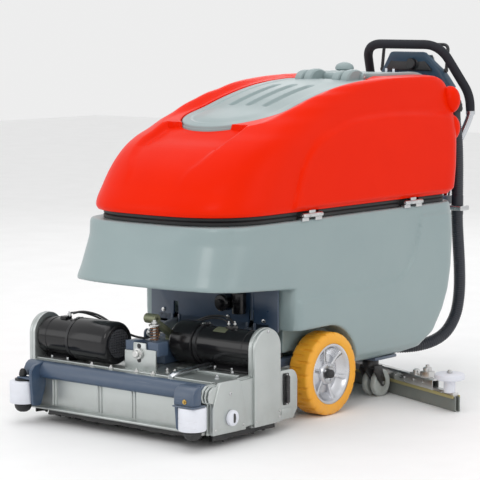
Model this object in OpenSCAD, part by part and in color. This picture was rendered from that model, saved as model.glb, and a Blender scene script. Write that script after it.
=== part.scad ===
// Walk-behind floor scrubber with a cylindrical brush deck and a rear squeegee.
// X runs across the machine, Y runs from front to rear, Z is up from the floor.

/* [Tanks] */
// Half width of the two tanks
body_half = 300; // [290:1:305]
// Height of the lower tank's rim
lower_top = 606; // [600:1:610]
// Height of the upper tank's lower edge
upper_base = 632; // [630:1:640]
// Half width of the lid
lid_half = 166; // [150:1:172]
// Thickness of the lid and of the rear cover
lid_t = 16; // [12:1:20]

/* [Brush deck] */
// Half width over the deck's side plates
deck_half = 371; // [360:1:380]
// Radius of both brushes
brush_r = 75; // [70:1:76]
// Height of the brush axes
brush_z = 80; // [79:1:84]
// Position of the front brush axis
front_brush_y = -660; // [-665:1:-658]
// Position of the rear brush axis
rear_brush_y = -495; // [-498:1:-490]
// Height of the brush motor axes
motor_z = 250; // [248:1:256]
// Height of the arms' pivots above their pins on the deck
arm_rise = 30; // [25:1:34]

/* [Running gear] */
// Radius of the drive wheels
wheel_r = 127; // [120:1:130]
// Position of the drive axle
axle_y = -115; // [-125:1:-105]
// Width of a drive wheel
wheel_w = 76; // [70:1:80]
// Radius of the caster wheels
caster_r = 44; // [40:1:46]
// Distance of the caster axle behind its swivel axis
caster_trail = 30; // [25:1:34]

/* [Squeegee] */
// Half width over the squeegee blades
squeegee_half = 584; // [540:1:590]
// Sweep of each squeegee half in degrees
sweep = 21.9; // [18:0.1:24]
// Position of the squeegee's apex
apex_y = 405; // [400:1:410]

/* [Handle and hose] */
// Radius of the foam grip
grip_r = 15.5; // [14:0.5:17]
// Radius of the handle tube
tube_r = 12.5; // [10:0.5:13]
// Radius of the vacuum hose
hose_r = 20.5; // [18:0.5:22]

/* [Hidden] */
$fn = 48;

navy = [0.19, 0.26, 0.36];
orange = [0.93, 0.14, 0.02];
tank_grey = [0.58, 0.67, 0.68];
lid_grey = [0.67, 0.76, 0.77];
alloy = [0.74, 0.75, 0.79];
zinc = [0.66, 0.68, 0.7];
black = [0.06, 0.06, 0.07];
soft_black = [0.1, 0.11, 0.13];
white = [0.9, 0.9, 0.88];
amber = [0.93, 0.65, 0.13];
steel = [0.7, 0.71, 0.73];

ring_n = 56;             // points round a tank ring
fit = 0.06;              // radial running clearance
nose_back = -335;        // where the nose underside meets the body
nose_tilt = -0.07;       // fall of the nose underside per unit of length
arm_pin = [-418, 244];   // y and z of the arms' pins on the deck
arm_pivot = [-260, 244 + arm_rise]; // y and z of the arms' pivots on the frame
arm_x = 150;
side_t = 25;             // thickness of a side plate with its covers
side_in = deck_half - side_t;
wheel_x = 280;           // middle plane of a drive wheel
caster_pos = [228, 208]; // x and y of a caster's swivel axis
end_roller = [553, 172];  // x and y of an end roller
lift_axis = [-30, 112];  // y and z of the squeegee arm's pivot
hinge_pos = [303, 619];  // x and z of the upper tank's hinge
lid_axis = [318, 1010];  // y and z of the lid's hinge
lid_front = -352;
lid_back = 300;
bay = [205, -225, 470, 200]; // battery bay: half width, front, back, floor

// ---- helpers ----
function spow(v, e) = sign(v) * pow(abs(v), e);
function unit(v) = v / norm(v);
// closed outline with superellipse ends joined by straight sides
function ring(z, w, yf, yr, af, ar, nf, nr, tilt = 0) = [
    for (i = [0 : ring_n - 1])
        let (t = 360 * (i + 0.5) / ring_n, c = cos(t), s = sin(t),
             n = s < 0 ? nf : nr, a = s < 0 ? af : ar,
             mid = s < 0 ? yf + af : yr - ar,
             y = mid + a * spow(s, 2 / n))
        [w * spow(c, 2 / n), y, z + tilt * (min(y, nose_back) - yf)]
];
module loft(rings) {
    n = len(rings[0]);
    m = len(rings);
    polyhedron(
        points = [for (r = rings) each r],
        faces = [
            [for (i = [0 : n - 1]) i],
            for (k = [0 : m - 2], i = [0 : n - 1])
                let (j = (i + 1) % n) each [
                    [(k + 1) * n + i, (k + 1) * n + j, k * n + j],
                    [(k + 1) * n + i, k * n + j, k * n + i]],
            [for (i = [n - 1 : -1 : 0]) (m - 1) * n + i]]);
}
// corner cutting, which rounds a route of points
function cut(p) = [p[0], for (i = [0 : len(p) - 2]) each
    [0.75 * p[i] + 0.25 * p[i + 1], 0.25 * p[i] + 0.75 * p[i + 1]], p[len(p) - 1]];
function heading(p, i) = i == 0 ? unit(p[1] - p[0])
    : i == len(p) - 1 ? unit(p[i] - p[i - 1])
    : unit(unit(p[i + 1] - p[i]) + unit(p[i] - p[i - 1]));
// tube swept along a route; aside is a direction that the route never takes
module sweep_tube(p, r, sides, aside) {
    loft([for (i = [0 : len(p) - 1])
        let (t = heading(p, i), u = unit(cross(aside, t)), v = cross(t, u))
        [for (k = [0 : sides - 1])
            let (a = 360 * k / sides) p[i] + r * (cos(a) * u + sin(a) * v)]]);
}
// round bar from a to b
module rod(a, b, r) {
    d = b - a;
    translate(a)
        rotate([0, acos(d[2] / norm(d)), atan2(d[1], d[0])])
            cylinder(r = r, h = norm(d));
}
// box from its low corner to its high corner
module block(lo, hi) {
    translate(lo) cube(hi - lo);
}
// cylinder along X
module xcyl(x0, x1, y, z, r) {
    translate([x0, y, z]) rotate([0, 90, 0]) cylinder(r = r, h = x1 - x0);
}
// cylinder along Y
module ycyl(x, y0, y1, z, r) {
    translate([x, y0, z]) rotate([-90, 0, 0]) cylinder(r = r, h = y1 - y0);
}
module zcyl(x, y, z0, z1, r) {
    translate([x, y, z0]) cylinder(r = r, h = z1 - z0);
}
// outline in the Y-Z plane, given a thickness along X
module slab_x(x0, x1) {
    translate([x0, 0, 0]) rotate([90, 0, 90]) linear_extrude(height = x1 - x0) children();
}
module both() {
    children();
    mirror([1, 0, 0]) children();
}

// ---- tank forms ----
lower_rings = [
    ring(139, body_half - 16, -322, 320, 40, 150, 6, 3),
    ring(149, body_half - 3, -331, 400, 40, 150, 6, 3),
    ring(192, body_half, -335, 475, 40, 150, 6, 3),
    ring(260, body_half, -337, 531, 40, 150, 6, 3),
    ring(322, body_half, -339, 564, 40, 150, 6, 3),
    ring(401, body_half, -341, 588, 40, 150, 6, 3),
    ring(428, body_half, -681, 590, 172, 150, 2.73, 3, nose_tilt),
    ring(438, body_half, -684, 593, 175, 150, 2.73, 3, nose_tilt * 0.9),
    ring(513, body_half, -655, 618, 220, 150, 2.8, 3, nose_tilt * 0.4),
    ring(lower_top - 8, body_half, -619, 634, 268, 150, 2.9, 3),
    ring(lower_top, body_half - 5, -612, 630, 268, 150, 2.9, 3)];
// each row: height, half width, front, rear
upper_rows = [
    [0, 297, -615, 640], [12, 302, -619, 645], [76, 298, -589, 648],
    [128, 293, -555, 650], [180, 287, -504, 652], [211, 281, -455, 653],
    [233, 275, -404, 654], [258, 268, -354, 654], [277, 262, -306, 654],
    [300, 257, -256, 652], [317, 252, -207, 648], [334, 248, -156, 642],
    [345, 246, -102, 636], [359, 243, -50, 624], [368, 241, 5, 610],
    [378, 236, 108, 580], [382, 226, 180, 550]];
module upper_form(dz = 0) {
    translate([0, 0, dz]) loft([for (q = upper_rows)
        ring(upper_base + q[0], q[1], q[2], q[3], 262, 150, 2.9, 3.2)]);
}
// plan outline of the lid, grown by g
module lid_plan(g = 0) {
    translate([0, 0, upper_base]) linear_extrude(height = 500)
        polygon([for (i = [0 : 39])
            let (t = 9 * (i + 0.5), c = cos(t), s = sin(t), n = s < 0 ? 3.2 : 8)
            [(lid_half + g) * spow(c, 2 / n),
             s < 0 ? lid_front - g + (190 + g) * (1 + spow(s, 2 / n))
                 : lid_back + g - 60 * (1 - spow(s, 2 / n))]]);
}
// side outline between the lid's top surface and z, shifted down by drop
lid_line = [[lid_front - 40, 866], [lid_front, 880], [-260, 901], [-164, 921], [-70, 948],
            [0, 966], [60, 979], [120, 989], [200, 998], [lid_back + 42, 1006]];
module under_line(drop) {
    polygon(concat([for (q = lid_line) q - [0, drop]], [[lid_back + 42, 700], [lid_front - 40, 700]]));
}
module cover_plan() {
    translate([0, 0, upper_base])
        linear_extrude(height = 500) offset(r = 40) square([220, 250], center = true);
}

// ---- fixed body ----
module chassis_frame() color(navy) {
    // bulkhead and shelf, slotted for the deck arms
    difference() {
        block([-250, -354, 270], [250, -347, 401]);
        both() block([arm_x - 10, -355, 269], [arm_x + 10, -346, 330]);
    }
    block([-arm_x + 10, -347, 262], [arm_x - 10, -300, 291]);
    both() {
        block([arm_x + 10, -347, 262], [220, -300, 291]);
        for (x = [arm_x - 18, arm_x + 10])
            difference() {
                slab_x(x, x + 8) union() {
                    translate(arm_pivot) circle(r = 15);
                    polygon([[-304, 262], [-304, 290], arm_pivot + [0, 15], arm_pivot - [0, 15]]);
                }
                xcyl(x - 1, x + 9, arm_pivot[0], arm_pivot[1], 8);
            }
        xcyl(arm_x - 18, arm_x + 18, arm_pivot[0], arm_pivot[1], 8);
        block([182, -300, 154], [220, -262, 291]);
        block([182, -262, 154], [220, -36, 178]);
        block([182, -60, 113], [220, -36, 154]);
        block([182, -36, 113], [210, 150, 138]);
        // caster plate
        difference() {
            block([168, 150, 128], [288, 266, 138]);
            zcyl(caster_pos[0], caster_pos[1], 127, 139, 12 + fit);
        }
    }
}
module lower_tank() color(tank_grey) difference() {
    loft(lower_rings);
    // battery bay, open at the top
    block([-bay[0], bay[1], bay[3]], [bay[0], bay[2], 700]);
    // clearance for the deck arms, the frame and the transaxle
    block([-226, -360, 100], [226, -236, 292]);
    both() block([arm_x - 13, -360, 280], [arm_x + 13, -236, 312]);
    block([-226, -237, 100], [226, -30, 195]);
    block([-50, -31, 100], [50, 112, 170]);
    // notch for the squeegee's port and hose
    block([-62, 340, 100], [62, 600, 186]);
    block([-62, 270, 100], [62, 341, 166]);
    both() {
        // room for the squeegee arm and its knobs when lifted
        block([42, 110, 100], [62, 341, 166]);
        block([116, 322, 100], [164, 380, 158]);
    }
    both() {
        block([220, -360, 100], [320, -115, 275]);
        xcyl(225.5, 320, axle_y, wheel_r, 147);
    }
}
module tank_gasket() color(soft_black) difference() {
    loft([for (z = [lower_top, upper_base - 0.5])
        ring(z, body_half - 14, -600, 616, 262, 150, 2.9, 3)]);
    block([-bay[0], bay[1], 500], [bay[0], bay[2], 700]);
    // hinge pockets
    for (y = [-199, 330])
        block([270, y - 36, 590], [310, y + 36, 700]);
}
module batteries() color(black) {
    for (sx = [-1, 1], k = [0 : 2]) {
        x0 = sx < 0 ? -203 : 3;
        y0 = bay[1] + 3 + 230 * k;
        block([x0, y0, bay[3]], [x0 + 200, y0 + 226, bay[3] + 250]);
        for (t = [40, 160])
            zcyl(x0 + t, y0 + 40, bay[3] + 250, bay[3] + 268, 9);
    }
}
module transaxle() color(steel) {
    xcyl(-90, 90, axle_y, wheel_r, 58);
    xcyl(90, 236, axle_y, wheel_r, 26);
    xcyl(-236, -90, axle_y, wheel_r, 26);
    both() xcyl(236, 318, axle_y, wheel_r, 12);
    ycyl(0, axle_y + 50, 105, wheel_r - 8, 42);
    both() {
        block([60, axle_y - 20, 180], [90, axle_y + 20, 194.5]);
        block([184, axle_y - 14, 140], [218, axle_y + 14, 154]);
    }
}
// tilt of the operator's face and its middle
face_tilt = 54.5;
face_mid = [769, 1053.5];
module on_face(x) translate([x, face_mid[0], face_mid[1]]) rotate([-face_tilt, 0, 0]) children();
module console_body() color(navy) difference() {
    union() {
        hull() {
            block([-72, 720, 1076], [72, 748, 1083]);
            block([-122, 738, 1018], [122, 790, 1024]);
            block([-150, 748, 960], [150, 818, 966]);
        }
        block([-110, 700, 600], [110, 752, 962]);
        block([-90, 630, 560], [90, 720, 600]);
    }
    on_face(-60) translate([0, 0, -8]) cylinder(r = 14.6, h = 20);
}
grip_pts = [[-200, 811.5, 880], [-200, 807, 940], [-150, 697, 1109],
            [150, 697, 1109], [200, 807, 940], [200, 811.5, 880]];
handle_aside = unit([0, 0.83, 0.56]);
// rounds each inner corner of the grip with an arc of points
function rounded(p, k, r) =
    let (a = unit(p[k - 1] - p[k]), b = unit(p[k + 1] - p[k]))
    [for (s = [0 : 0.2 : 1]) p[k] + r * (a * pow(1 - s, 2) + b * pow(s, 2))];
grip_route = concat([grip_pts[0]], rounded(grip_pts, 1, 38), rounded(grip_pts, 2, 62),
    rounded(grip_pts, 3, 62), rounded(grip_pts, 4, 38), [grip_pts[5]]);
module handle_grip() color(soft_black) sweep_tube(grip_route, grip_r, 12, handle_aside);
tube_pts = [[200, 811.5, 880], [200, 810, 862], [161, 764, 740], [157, 735, 588]];
module handle_tube() color(steel) both() {
    sweep_tube(cut(cut(tube_pts)), tube_r, 12, [1, 0.1, 0]);
    // foot bracket on the lower tank's rear
    block([145, 606, 576], [169, 747, 604]);
}
module hinge_lower() color(zinc) for (y = [-199, 330]) {
    for (d = [-30, 10])
        difference() {
            ycyl(hinge_pos[0], y + d, y + d + 20, hinge_pos[1], 7);
            ycyl(hinge_pos[0], y + d - 1, y + d + 21, hinge_pos[1], 3);
        }
    ycyl(hinge_pos[0], y - 32, y + 32, hinge_pos[1], 3);
    for (d = [-30, 10])
        block([276, y + d, lower_top], [297, y + d + 20, lower_top + 5]);
}
module squeegee_mount() color(navy) {
    both() difference() {
        block([66, -52, 95], [74, -8, 138]);
        xcyl(65, 75, lift_axis[0], lift_axis[1], 8);
    }
    both() {
        block([74, -52, 113], [182, -8, 121]);
        xcyl(43, 74, lift_axis[0], lift_axis[1], 8);
    }
}
module deck_actuator() color(black) {
    rod([75, -354, 350], [75, -410, 350], 26);
    rod([75, -410, 350], [75, -422, 350], 12);
    zcyl(120, -378, 318, 384, 24);
}
module body_fasteners() color(zinc) {
    both() for (y = [665, 700]) zcyl(157, y, 572, 576, 6);
    for (x = [-200, 60, 200]) ycyl(x, -358, -354, 300, 6);
    both() for (x = [175, 281], y = [160, 258]) zcyl(x, y, 123, 128, 6);
    // hose clip on the console pillar
    difference() {
        block([90, 712, 556], [232, 764, 572]);
        zcyl(200, 738, 550, 580, hose_r + 1);
    }
}
hose_top = [[200, 715, 888], [200, 715, 868], [200, 733, 790], [200, 738, 700],
            [200, 738, 640], [200, 738, 572]];
hose_low = [[200, 738, 572], [200, 738, 520], [200, 748, 450], [200, 758, 360],
            [200, 742, 270], [194, 690, 190], [172, 610, 132], [120, 540, 108],
            [50, 505, 106], [0, 480, 106], [0, 442, 106]];
module hose_upper() color(soft_black) sweep_tube(cut(hose_top), hose_r, 12, [1, 0.05, 0]);
module hose_lower() color(soft_black)
    sweep_tube(cut(cut(hose_low)), hose_r, 12, [0.45, 0, 1]);

// ---- upper tank ----
module upper_tank() color(orange) {
    difference() {
        upper_form();
        // recess that the lid lies in, open upwards
        difference() {
            lid_plan(3);
            slab_x(-200, 200) under_line(lid_t + 1);
        }
        // mouth of the tank under the lid
        block([-132, -290, 660], [132, 265, 1100]);
        // slot behind the lid for its hinge
        block([-120, lid_back - 30, 986], [120, 342, 1100]);
        // well for the vacuum motor
        zcyl(0, 500, 800, 1100, 90);
    }
    for (z = [840, 932]) both()
        intersection() {
            translate([256, 606, z]) rotate([-90, 0, 30]) scale([1, 1, 1.5]) sphere(r = 36, $fn = 32);
            block([180, 560, z - 60], [330, 700, z + 60]);
        }
}
module rear_cover() color(lid_grey) {
    difference() {
        intersection() {
            translate([0, 495, 0]) cover_plan();
            upper_form(10);
        }
        upper_form();
    }
    // lugs and pin for the lid
    difference() {
        union() {
            for (x = [-118, 100]) block([x, 306, 998], [x + 18, 340, 1024]);
            block([-50, 306, 998], [50, 340, 1024]);
        }
        xcyl(-130, 130, lid_axis[0], lid_axis[1], 4);
    }
    xcyl(-116, 116, lid_axis[0], lid_axis[1], 4);
}
module vacuum_motor() color(steel) {
    zcyl(0, 500, 800, 900, 85);
    zcyl(0, 500, 900, 985, 62);
}
module hinge_upper() color(zinc) for (y = [-199, 330]) {
    difference() {
        union() {
            ycyl(hinge_pos[0], y - 9.4, y + 9.4, hinge_pos[1], 7);
            block([276, y - 9.4, upper_base - 5], [303, y + 9.4, upper_base]);
            block([296, y - 9.4, hinge_pos[1] + 4], [303, y + 9.4, upper_base]);
        }
        ycyl(hinge_pos[0], y - 12, y + 12, hinge_pos[1], 3 + fit);
    }
}
module hose_elbow() color(soft_black) {
    ycyl(196, 626, 712, 914, 26);
    zcyl(200, 715, 888, 914, 26);
    translate([198, 715, 914]) sphere(r = 26);
}
module lid() color(lid_grey) difference() {
    union() {
        intersection() {
            lid_plan();
            slab_x(-200, 200) difference() {
                under_line(0);
                under_line(lid_t);
            }
        }
        for (x = [-90, 58]) {
            block([x, 280, 994], [x + 32, 318, 1002]);
            xcyl(x, x + 32, lid_axis[0], lid_axis[1], 10);
        }
    }
    xcyl(-130, 130, lid_axis[0], lid_axis[1], 4 + fit);
}

// ---- brush deck ----
module lift_arms() color(zinc) {
    both() difference() {
        slab_x(arm_x - 7, arm_x + 7) hull() {
            translate(arm_pin) circle(r = 13);
            translate(arm_pivot) circle(r = 13);
        }
        xcyl(100, 200, arm_pin[0], arm_pin[1], 8 + fit);
        xcyl(100, 200, arm_pivot[0], arm_pivot[1], 8 + fit);
    }
    // cross tube between the arms
    xcyl(-arm_x + 7, arm_x - 7, -384, 250, 9);
}
module deck_frame() color(navy) {
    block([-side_in, -736, 179], [side_in, -404, 184]);
    block([-side_in, -736, 114], [side_in, -731, 179]);
    both() {
        for (x = [arm_x - 18, arm_x + 10])
            difference() {
                union() {
                    block([x, -431, 184], [x + 8, -405, 244]);
                    xcyl(x, x + 8, arm_pin[0], arm_pin[1], 13);
                }
                xcyl(x - 1, x + 9, arm_pin[0], arm_pin[1], 8);
            }
        xcyl(arm_x - 18, arm_x + 18, arm_pin[0], arm_pin[1], 8);
    }
    // centre bracket, block and shiny guide bar
    difference() {
        block([25, -692, 184], [107, -686, 264]);
        ycyl(66, -700, -680, 236, 7);
    }
    block([-60, -560, 184], [30, -450, 246]);
    rod([208, -646, 190], [172, -568, 190], 6);
}
// side plate seen from outside: cover_y is the belt cover's middle, plain_y that of the plain cover
module side_plate(cover_y, plain0, plain1) {
    difference() {
        union() {
            slab_x(side_in, side_in + 6)
                polygon([[-738, 38], [-738, 150], [-700, 190], [-425, 190], [-425, 38]]);
            slab_x(side_in + 6, deck_half)
                polygon([[plain0, 38], [plain0, plain0 < -700 ? 150 : 190],
                    [plain0 + (plain0 < -700 ? 38 : 0), 190], [plain1, 190], [plain1, 38]]);
            slab_x(side_in, deck_half) belt_outline(cover_y, 0);
        }
        // belt space inside the cover
        slab_x(side_in + 4, deck_half - 3) belt_outline(cover_y, -5);
        for (y = [front_brush_y, rear_brush_y])
            xcyl(side_in - 1, side_in + 14, y, brush_z, 10 + fit);
        xcyl(side_in - 1, side_in + 5, cover_y, motor_z, 12);
    }
}
module belt_outline(y, g) {
    translate([y, motor_z + 7]) circle(r = 62 + g);
    polygon([[y - 62 - g, 38 - g], [y - 62 - g, motor_z + 7], [y + 62 + g, motor_z + 7], [y + 62 + g, 38 - g]]);
}
module side_plate_left() color(alloy) side_plate(rear_brush_y, -738, -582);
module side_plate_right() color(alloy)
    mirror([1, 0, 0]) side_plate(front_brush_y, -594, -425);
module front_panel() color(alloy) {
    block([-344, -744, 50], [344, -737, 137]);
    for (x = [-227, -44, 89, 250]) for (d = [-9, 9])
        block([x + d - 4, -752, 60], [x + d + 4, -744, 130]);
    block([-344, -760, 44], [344, -737, 50]);
}
module bumper_bar() color(navy) {
    block([-345, -772, 138], [345, -737, 186]);
    both() {
        block([300, -815, 140], [345, -772, 146]);
        block([345, -772, 138], [364, -739, 178]);
        // axle, foot and bolt of a bumper roller
        zcyl(333, -787, 44, 140, 8);
        zcyl(333, -787, 36, 58, 18);
        zcyl(333, -787, 146, 158, 12);
    }
}
module rubber_skirts() color(black) {
    block([-340, -750, 8], [340, -746, 44]);
    both() block([346, -720, 10], [350, -436, 38]);
}
module brush_motor(y, x_plate, x_body, x_fan) {
    xcyl(x_body, x_plate, y, motor_z, 56);
    xcyl(x_fan, x_body, y, motor_z, 64);
    block([x_body + 30, y - 38, 184], [x_plate - 20, y + 38, 214]);
    zcyl((x_body + x_plate) / 2, y, motor_z + 50, motor_z + 66, 14);
}
module motor_rear() color(black) {
    brush_motor(rear_brush_y, side_in, 125, 40);
}
module motor_front() color(black) mirror([1, 0, 0])
    brush_motor(front_brush_y, side_in, 207, 62);
module motor_leads() color(black) {
    sweep_tube(cut(cut([[-270, -658, 323], [-230, -640, 345], [-150, -600, 330], [-90, -560, 270],
        [-60, -545, 252]])), 6, 8, [0, 0.2, 1]);
    sweep_tube(cut(cut([[242, -495, 323], [200, -470, 340], [120, -458, 332], [60, -446, 308],
        [24, -446, 304], [0, -458, 253]])), 6, 8, [0, 0.2, 1]);
}
module belt(y) {
    slab_x(side_in + 8, side_in + 20) difference() {
        hull() {
            translate([y, brush_z]) circle(r = 36.4);
            translate([y, motor_z]) circle(r = 25.7);
        }
        hull() {
            translate([y, brush_z]) circle(r = 33.4);
            translate([y, motor_z]) circle(r = 22.7);
        }
    }
}
module drive_belts() color(black) {
    belt(rear_brush_y);
    mirror([1, 0, 0]) belt(front_brush_y);
}
module pulley(y) {
    difference() {
        xcyl(side_in + 8, side_in + 20, y, motor_z, 22.3);
        xcyl(side_in, side_in + 30, y, motor_z, 8);
    }
    xcyl(side_in + 0.3, side_in + 20, y, motor_z, 8);
}
module pulley_rear() color(zinc) pulley(rear_brush_y);
module pulley_front() color(zinc) mirror([1, 0, 0]) pulley(front_brush_y);
// brush with its shaft and its driven pulley, which sits on the +X end
module brush(y) {
    xcyl(-336, 336, y, brush_z, brush_r);
    xcyl(-side_in - 10, -336, y, brush_z, 10);
    xcyl(336, side_in + 8, y, brush_z, 10);
    xcyl(side_in + 8, side_in + 20, y, brush_z, 33);
}
module brush_rear() color(black) brush(rear_brush_y);
module brush_front() color(black) mirror([1, 0, 0]) brush(front_brush_y);
spring_pos = [43, -618];
module deck_spring() color([0.62, 0.42, 0.3]) {
    zcyl(spring_pos[0], spring_pos[1], 184, 320, 6);
    sweep_tube([for (i = [0 : 60])
        let (a = 36 * i) [spring_pos[0] + 14 * cos(a), spring_pos[1] + 14 * sin(a), 256 + 0.85 * i]],
        3, 8, [0, 0, 1]);
    zcyl(spring_pos[0], spring_pos[1], 246, 252, 18);
}
module deck_link() color([0.45, 0.46, 0.4]) {
    difference() {
        union() {
            translate([10, -545, 293]) rotate([32, 0, 0]) cube([40, 110, 8], center = true);
            xcyl(-12, 32, -592, 324, 11);
            xcyl(-12, 32, -498, 262, 11);
        }
        xcyl(-20, 40, -592, 324, 5);
    }
    block([-8, -510, 246], [28, -486, 256]);
}
module deck_fasteners() color(zinc) {
    // screws of the two side plates
    for (q = [[-726, 60], [-726, 130], [-600, 60], [-600, 170], [-548, 60], [-442, 60], [-442, 200], [-548, 250]])
        xcyl(deck_half, deck_half + 3, q[0], q[1], 5);
    for (q = [[-580, 60], [-440, 60], [-440, 170], [-711, 60], [-605, 60], [-711, 220], [-605, 220]])
        xcyl(-deck_half - 3, -deck_half, q[0], q[1], 5);
    // bolts of the centre bracket and of the top plate
    ycyl(66, -698, -692, 236, 13);
    for (x = [60, 120, 180]) zcyl(x, -715, 184, 190, 6);
}
module bumper_roller(s) {
    x = 333 * s;
    difference() {
        zcyl(x, -787, 60, 128, 40);
        zcyl(x, -787, 50, 140, 8 + fit);
    }
}
module bumper_roller_left() color(white) bumper_roller(1);
module bumper_roller_right() color(white) bumper_roller(-1);
module debris_hopper() color(alloy) {
    difference() {
        slab_x(-338, side_in - 1) polygon([[-414, 35], [-414, 160], [-400, 176],
            for (a = [90 : -15 : 0]) [-362 + 34 * cos(a), 142 + 34 * sin(a)], [-328, 60], [-345, 35]]);
        block([-330, -420, 41], [side_in - 9, -336, 150]);
    }
    block([side_in - 1, -392, 76], [side_in + 16, -374, 170]);
}
module latch_knob() color(white) {
    xcyl(deck_half + 0.3, deck_half + 10, -660, 82, 23);
    xcyl(deck_half + 10, deck_half + 15, -660, 82, 8);
}

// ---- wheels ----
module tyre(s) difference() {
    xcyl(s * wheel_x - wheel_w / 2, s * wheel_x + wheel_w / 2, axle_y, wheel_r, wheel_r);
    xcyl(s * wheel_x - wheel_w, s * wheel_x + wheel_w, axle_y, wheel_r, 93);
}
module hub(s) difference() {
    union() {
        difference() {
            xcyl(s * wheel_x - wheel_w / 2 + 4, s * wheel_x + wheel_w / 2 - 3, axle_y, wheel_r, 93);
            for (e = [-1, 1])
                xcyl(s * wheel_x + e * 34 - 26, s * wheel_x + e * 34 + 26, axle_y, wheel_r, 84);
        }
        xcyl(s * wheel_x - 30, s * wheel_x + 30, axle_y, wheel_r, 30);
        for (a = [0 : 60 : 300])
            translate([s * wheel_x, axle_y, wheel_r]) rotate([a, 0, 0])
                block([-20, -8, 26], [20, 8, 86]);
    }
    xcyl(s * wheel_x - 60, s * wheel_x + 60, axle_y, wheel_r, 12 + fit);
}
module tyre_left() color(amber) tyre(1);
module tyre_right() color(amber) tyre(-1);
module hub_left() color(alloy) hub(1);
module hub_right() color(alloy) hub(-1);

module caster_fork(s) {
    x = s * caster_pos[0];
    y = caster_pos[1];
    zcyl(x, y, 100, 137, 12);
    zcyl(x, y, 100, 127, 26);
    // stem plate between the twin wheels, carrying the axle
    slab_x(x - 5, x + 5) polygon([[y - 24, 100], [y + 26, 100], [y + caster_trail + 14, caster_r + 6],
        [y + caster_trail + 10, caster_r - 12], [y + caster_trail - 12, caster_r - 8], [y - 24, 84]]);
    xcyl(x - 24, x + 24, y + caster_trail, caster_r, 6);
}
module caster_wheels(s) {
    x = s * caster_pos[0];
    for (e = [-1, 1])
        difference() {
            xcyl(x + e * 16.5 - 9.5, x + e * 16.5 + 9.5, caster_pos[1] + caster_trail, caster_r, caster_r);
            xcyl(x - 40, x + 40, caster_pos[1] + caster_trail, caster_r, 6 + fit);
        }
}
module caster_fork_left() color(black) caster_fork(1);
module caster_fork_right() color(black) caster_fork(-1);
module caster_wheels_left() color(tank_grey) caster_wheels(1);
module caster_wheels_right() color(tank_grey) caster_wheels(-1);

// ---- squeegee ----
half_len = squeegee_half / cos(sweep);
// places children along one squeegee half, with local X outwards from the apex
module on_half() both()
    translate([0, apex_y, 0]) rotate([0, 0, -sweep]) children();
module half_bar(x1, y0, y1, z0, z1) intersection() {
    block([-60, y0, z0], [x1, y1, z1]);
    // the halves stop just short of the middle
    rotate([0, 0, sweep]) block([0.3, -400, z0 - 1], [700, 400, z1 + 1]);
}
module squeegee_body() color(zinc) {
    on_half() {
        half_bar(half_len - 120, -13, 13, 56, 82);
        half_bar(half_len - 14, -13, 13, 46, 56);
    }
    // vacuum port and arm socket
    translate([0, 422, 0]) difference() {
        union() {
            zcyl(0, -22, 82.2, 88, 34);
            ycyl(0, -22, 20, 106.5, 24);
        }
        ycyl(0, -30, 22, 106.5, 19);
    }
    both() {
        zcyl(430, 232, 82, 104, 14);
        zcyl(end_roller[0], end_roller[1], 56, 128, 6);
        zcyl(end_roller[0], end_roller[1], 125.4, 131, 10);
    }
}
module squeegee_blades() color([0.42, 0.43, 0.36]) on_half() {
    half_bar(half_len, -9, -5, 1, 44);
    half_bar(half_len, 5, 9, 1, 44);
    half_bar(half_len - 20, -5, 5, 34, 44);
}
module squeegee_knobs() color(zinc) both() {
    zcyl(140, 349, 82, 98, 7);
    zcyl(140, 349, 98, 112, 18);
    zcyl(372, 256, 82, 100, 12);
}
module squeegee_arm() color(navy) {
    both() {
        difference() {
            union() {
                xcyl(44, 60, lift_axis[0], lift_axis[1], 15);
                block([44, lift_axis[0], 104], [60, 330, 120]);
            }
            xcyl(40, 64, lift_axis[0], lift_axis[1], 8 + fit);
        }
        block([44, 320, 82], [60, 384, 120]);
    }
    block([-44, 300, 104], [44, 320, 120]);
}
module squeegee_roller(s) difference() {
    union() {
        zcyl(s * end_roller[0], end_roller[1], 105, 125, 47);
        zcyl(s * end_roller[0], end_roller[1], 57, 105, 18);
    }
    zcyl(s * end_roller[0], end_roller[1], 50, 140, 6 + fit);
}
module squeegee_roller_left() color(white) squeegee_roller(1);
module squeegee_roller_right() color(white) squeegee_roller(-1);

// ---- controls ----
bail_pivot = [765, 1022];
module drive_bail() color(soft_black) {
    both() {
        xcyl(127, 135, bail_pivot[0], bail_pivot[1], 8);
        rod([132, bail_pivot[0], bail_pivot[1]], [132, 777, 1108], 5);
        translate([132, 777, 1108]) sphere(r = 6);
    }
    xcyl(-132, 132, 777, 1108, 6);
}
module speed_knob() color(black) on_face(60) translate([0, 0, 0.6]) cylinder(r = 15, h = 16);
module key_switch() color(zinc) on_face(0) {
    translate([0, 0, 0.6]) cylinder(r = 9, h = 8);
    translate([-2, -7, 8]) cube([4, 14, 10]);
}
module stop_button() color([0.8, 0.1, 0.1]) on_face(-60) cylinder(r = 14, h = 14);

chassis_frame();
lower_tank();
tank_gasket();
batteries();
transaxle();
console_body();
handle_tube();
handle_grip();
hinge_lower();
squeegee_mount();
deck_actuator();
body_fasteners();
hose_upper();
hose_lower();
upper_tank();
rear_cover();
vacuum_motor();
hinge_upper();
hose_elbow();
lid();
lift_arms();
deck_frame();
side_plate_left();
side_plate_right();
front_panel();
bumper_bar();
rubber_skirts();
motor_front();
motor_rear();
motor_leads();
drive_belts();
deck_spring();
deck_link();
deck_fasteners();
brush_front();
brush_rear();
pulley_front();
pulley_rear();
bumper_roller_left();
bumper_roller_right();
debris_hopper();
latch_knob();
tyre_left();
tyre_right();
hub_left();
hub_right();
caster_fork_left();
caster_fork_right();
caster_wheels_left();
caster_wheels_right();
squeegee_arm();
squeegee_body();
squeegee_blades();
squeegee_knobs();
squeegee_roller_left();
squeegee_roller_right();
drive_bail();
speed_knob();
key_switch();
stop_button();
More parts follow.
